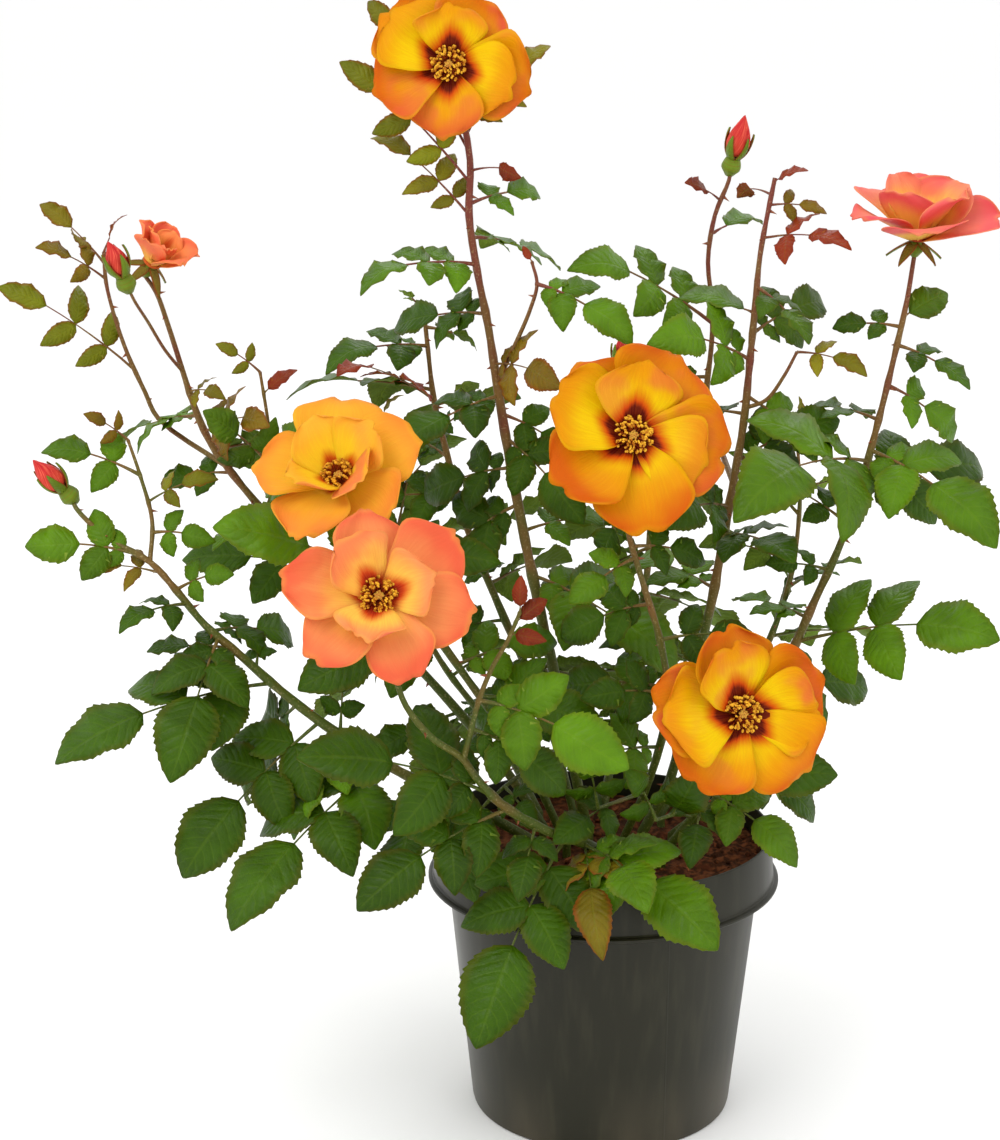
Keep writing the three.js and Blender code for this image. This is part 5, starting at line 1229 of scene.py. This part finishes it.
# Pot and soil
def make_pot():
    p = POT
    under = p["lip_level"] - p["lip_thickness"]
    base, body = p["base_radius"], p["body_top_radius"]
    collar, top = p["collar_foot_radius"], p["collar_top_radius"]
    lip, level, height, wall = p["lip_radius"], p["lip_level"], p["height"], p["wall"]
    profile = [
        (0, 1.2), (base - 9, 1.2), (base - 8, 0), (base - 2.2, 0), (base - 0.6, 0.7), (base, 3),
        (body, under - 0.5), (body + 0.8, under), (lip - 0.7, under), (lip, under + 0.6),
        (lip, level - 0.6), (lip - 0.7, level), (collar + 0.6, level + 0.2), (collar, level + 0.9),
        (top, height - 0.8), (top - 0.4, height), (top - wall + 0.4, height), (top - wall, height - 0.8),
        (collar - wall, level + 0.4), (body - wall, level),
        (base - wall, p["floor"] + 1), (base - wall - 2, p["floor"]), (0, p["floor"])]
    pot = turned("nursery_pot", profile, p["sides"], PLASTIC)
    for i in range(p["drain_holes"]):
        turn = 2 * math.pi * i / p["drain_holes"] - math.pi / 2
        spot = (p["drain_circle"] * math.cos(turn), p["drain_circle"] * math.sin(turn), 0)
        cutter = primitive(
            bpy.ops.mesh.primitive_cylinder_add, vertices=24, radius=p["drain_radius"], depth=14,
            location=spot)
        apply_modifier(pot, "BOOLEAN", object=cutter, operation="DIFFERENCE", solver="EXACT")
        bpy.data.objects.remove(cutter)
    activate(pot)
    bpy.ops.object.shade_smooth_by_angle(angle=math.radians(35))
    joined("nursery_pot", [pot], "plastic", "pot")


def soil_height(x, y):
    slow = math.sin(x * 0.19 + 1) * math.cos(y * 0.23) + 0.4 * math.sin(x * 0.5 + y * 0.4)
    rough = noise.noise(Vector((x * 0.16, y * 0.16, 3))) * 2.2
    fine = noise.noise(Vector((x * 0.5, y * 0.5, 7))) * 1.1
    return SOIL["level"] + SOIL["lump"] * slow + rough + fine


def make_soil():
    edge = POT["wall"] + GAP + 0.4
    base, body = POT["base_radius"] - edge, POT["body_top_radius"] - edge
    top = POT["collar_foot_radius"] - edge - 0.6
    level = POT["lip_level"]
    profile = [
        (0, 2.7), (base - 2.4, 2.7), (base, 5), (body, level - 1), (body, level + 0.6), (top, level + 2),
        (top, SOIL["level"] - 1)]
    profile += [(top * ring / SOIL["rings"], SOIL["level"]) for ring in range(SOIL["rings"] - 1, -1, -1)]
    ground = turned("potting_soil", profile, SOIL["sides"], PEAT)
    for vertex in ground.data.vertices:
        if vertex.co.z > SOIL["level"] - 0.01:
            vertex.co.z = soil_height(vertex.co.x, vertex.co.y)
    ground.data.shade_smooth()
    crumb = primitive(bpy.ops.mesh.primitive_ico_sphere_add, subdivisions=1, radius=1)
    crumb.data.materials.append(PEAT)
    chip = primitive(bpy.ops.mesh.primitive_cube_add, size=1)
    apply_modifier(chip, "BEVEL", width=0.12, segments=1)
    chip.data.materials.append(BARK_CHIP)
    parts = [ground]
    for i in range(SOIL["crumbs"] + SOIL["chips"]):
        is_chip = i >= SOIL["crumbs"]
        angle = draw(i * 3 + 1) * 2 * math.pi
        spread = (top - 5) * math.sqrt(draw(i * 3 + 2))
        x, y = spread * math.cos(angle), spread * math.sin(angle)
        size = 1.1 + 2.0 * draw(i * 3 + 3) ** 2
        scale = Vector((2.6, 1.1, 0.5) if is_chip else (1, 0.8, 0.7)) * size
        turn = Quaternion((draw(i) - 0.5, draw(i + 5) - 0.5, 1), draw(i + 9) * 6.28)
        spot = Vector((x, y, soil_height(x, y) + size * 0.2))
        matrix = Matrix.Translation(spot) @ turn.to_matrix().to_4x4() @ Matrix.Diagonal((*scale, 1))
        parts.append(copy_of(chip if is_chip else crumb, matrix))
    bpy.data.objects.remove(crumb)
    bpy.data.objects.remove(chip)
    joined("potting_soil", parts, "soil", "soil")


# Camera, light and floor
def set_stage():
    camera = linked("camera", bpy.data.cameras.new("camera"))
    camera.location = Vector(SIGHT["eye"]) * MM
    camera.rotation_euler = (math.radians(90 - SIGHT["pitch"]), 0, 0)
    camera.data.sensor_fit = "HORIZONTAL"
    camera.data.sensor_width = SENSOR
    camera.data.lens = SENSOR * SIGHT["focal"] / SIGHT["width"]
    scene = bpy.context.scene
    scene.camera = camera
    floor = primitive(bpy.ops.mesh.primitive_plane_add, size=60)
    floor.name = "floor"
    floor.data.materials.append(new_material("pale_floor", (250, 250, 249), 0.7)[0])
    world = scene.world = bpy.data.worlds.new("studio")
    world.use_nodes = True
    light = world.node_tree.nodes["Background"].inputs
    light[0].default_value = (1, 1, 1, 1)
    light[1].default_value = 1.05
    scene.view_settings.view_transform = "Standard"
    for name, spot, power, size in (
            ("key", (-1.1, -1.3, 1.9), 20, 1.4), ("fill", (1.5, -0.9, 1.1), 6, 1.6),
            ("back", (0.3, 1.5, 1.7), 8, 1.4)):
        lamp = linked(name, bpy.data.lights.new(name, "AREA"))
        lamp.location = spot
        lamp.rotation_euler = (Vector((0, 0, 0.3)) - Vector(spot)).to_track_quat("-Z", "Y").to_euler()
        lamp.data.energy = power
        lamp.data.size = size


set_stage()
make_pot()
make_soil()
grow_canes()
open_blooms()
close_buds()
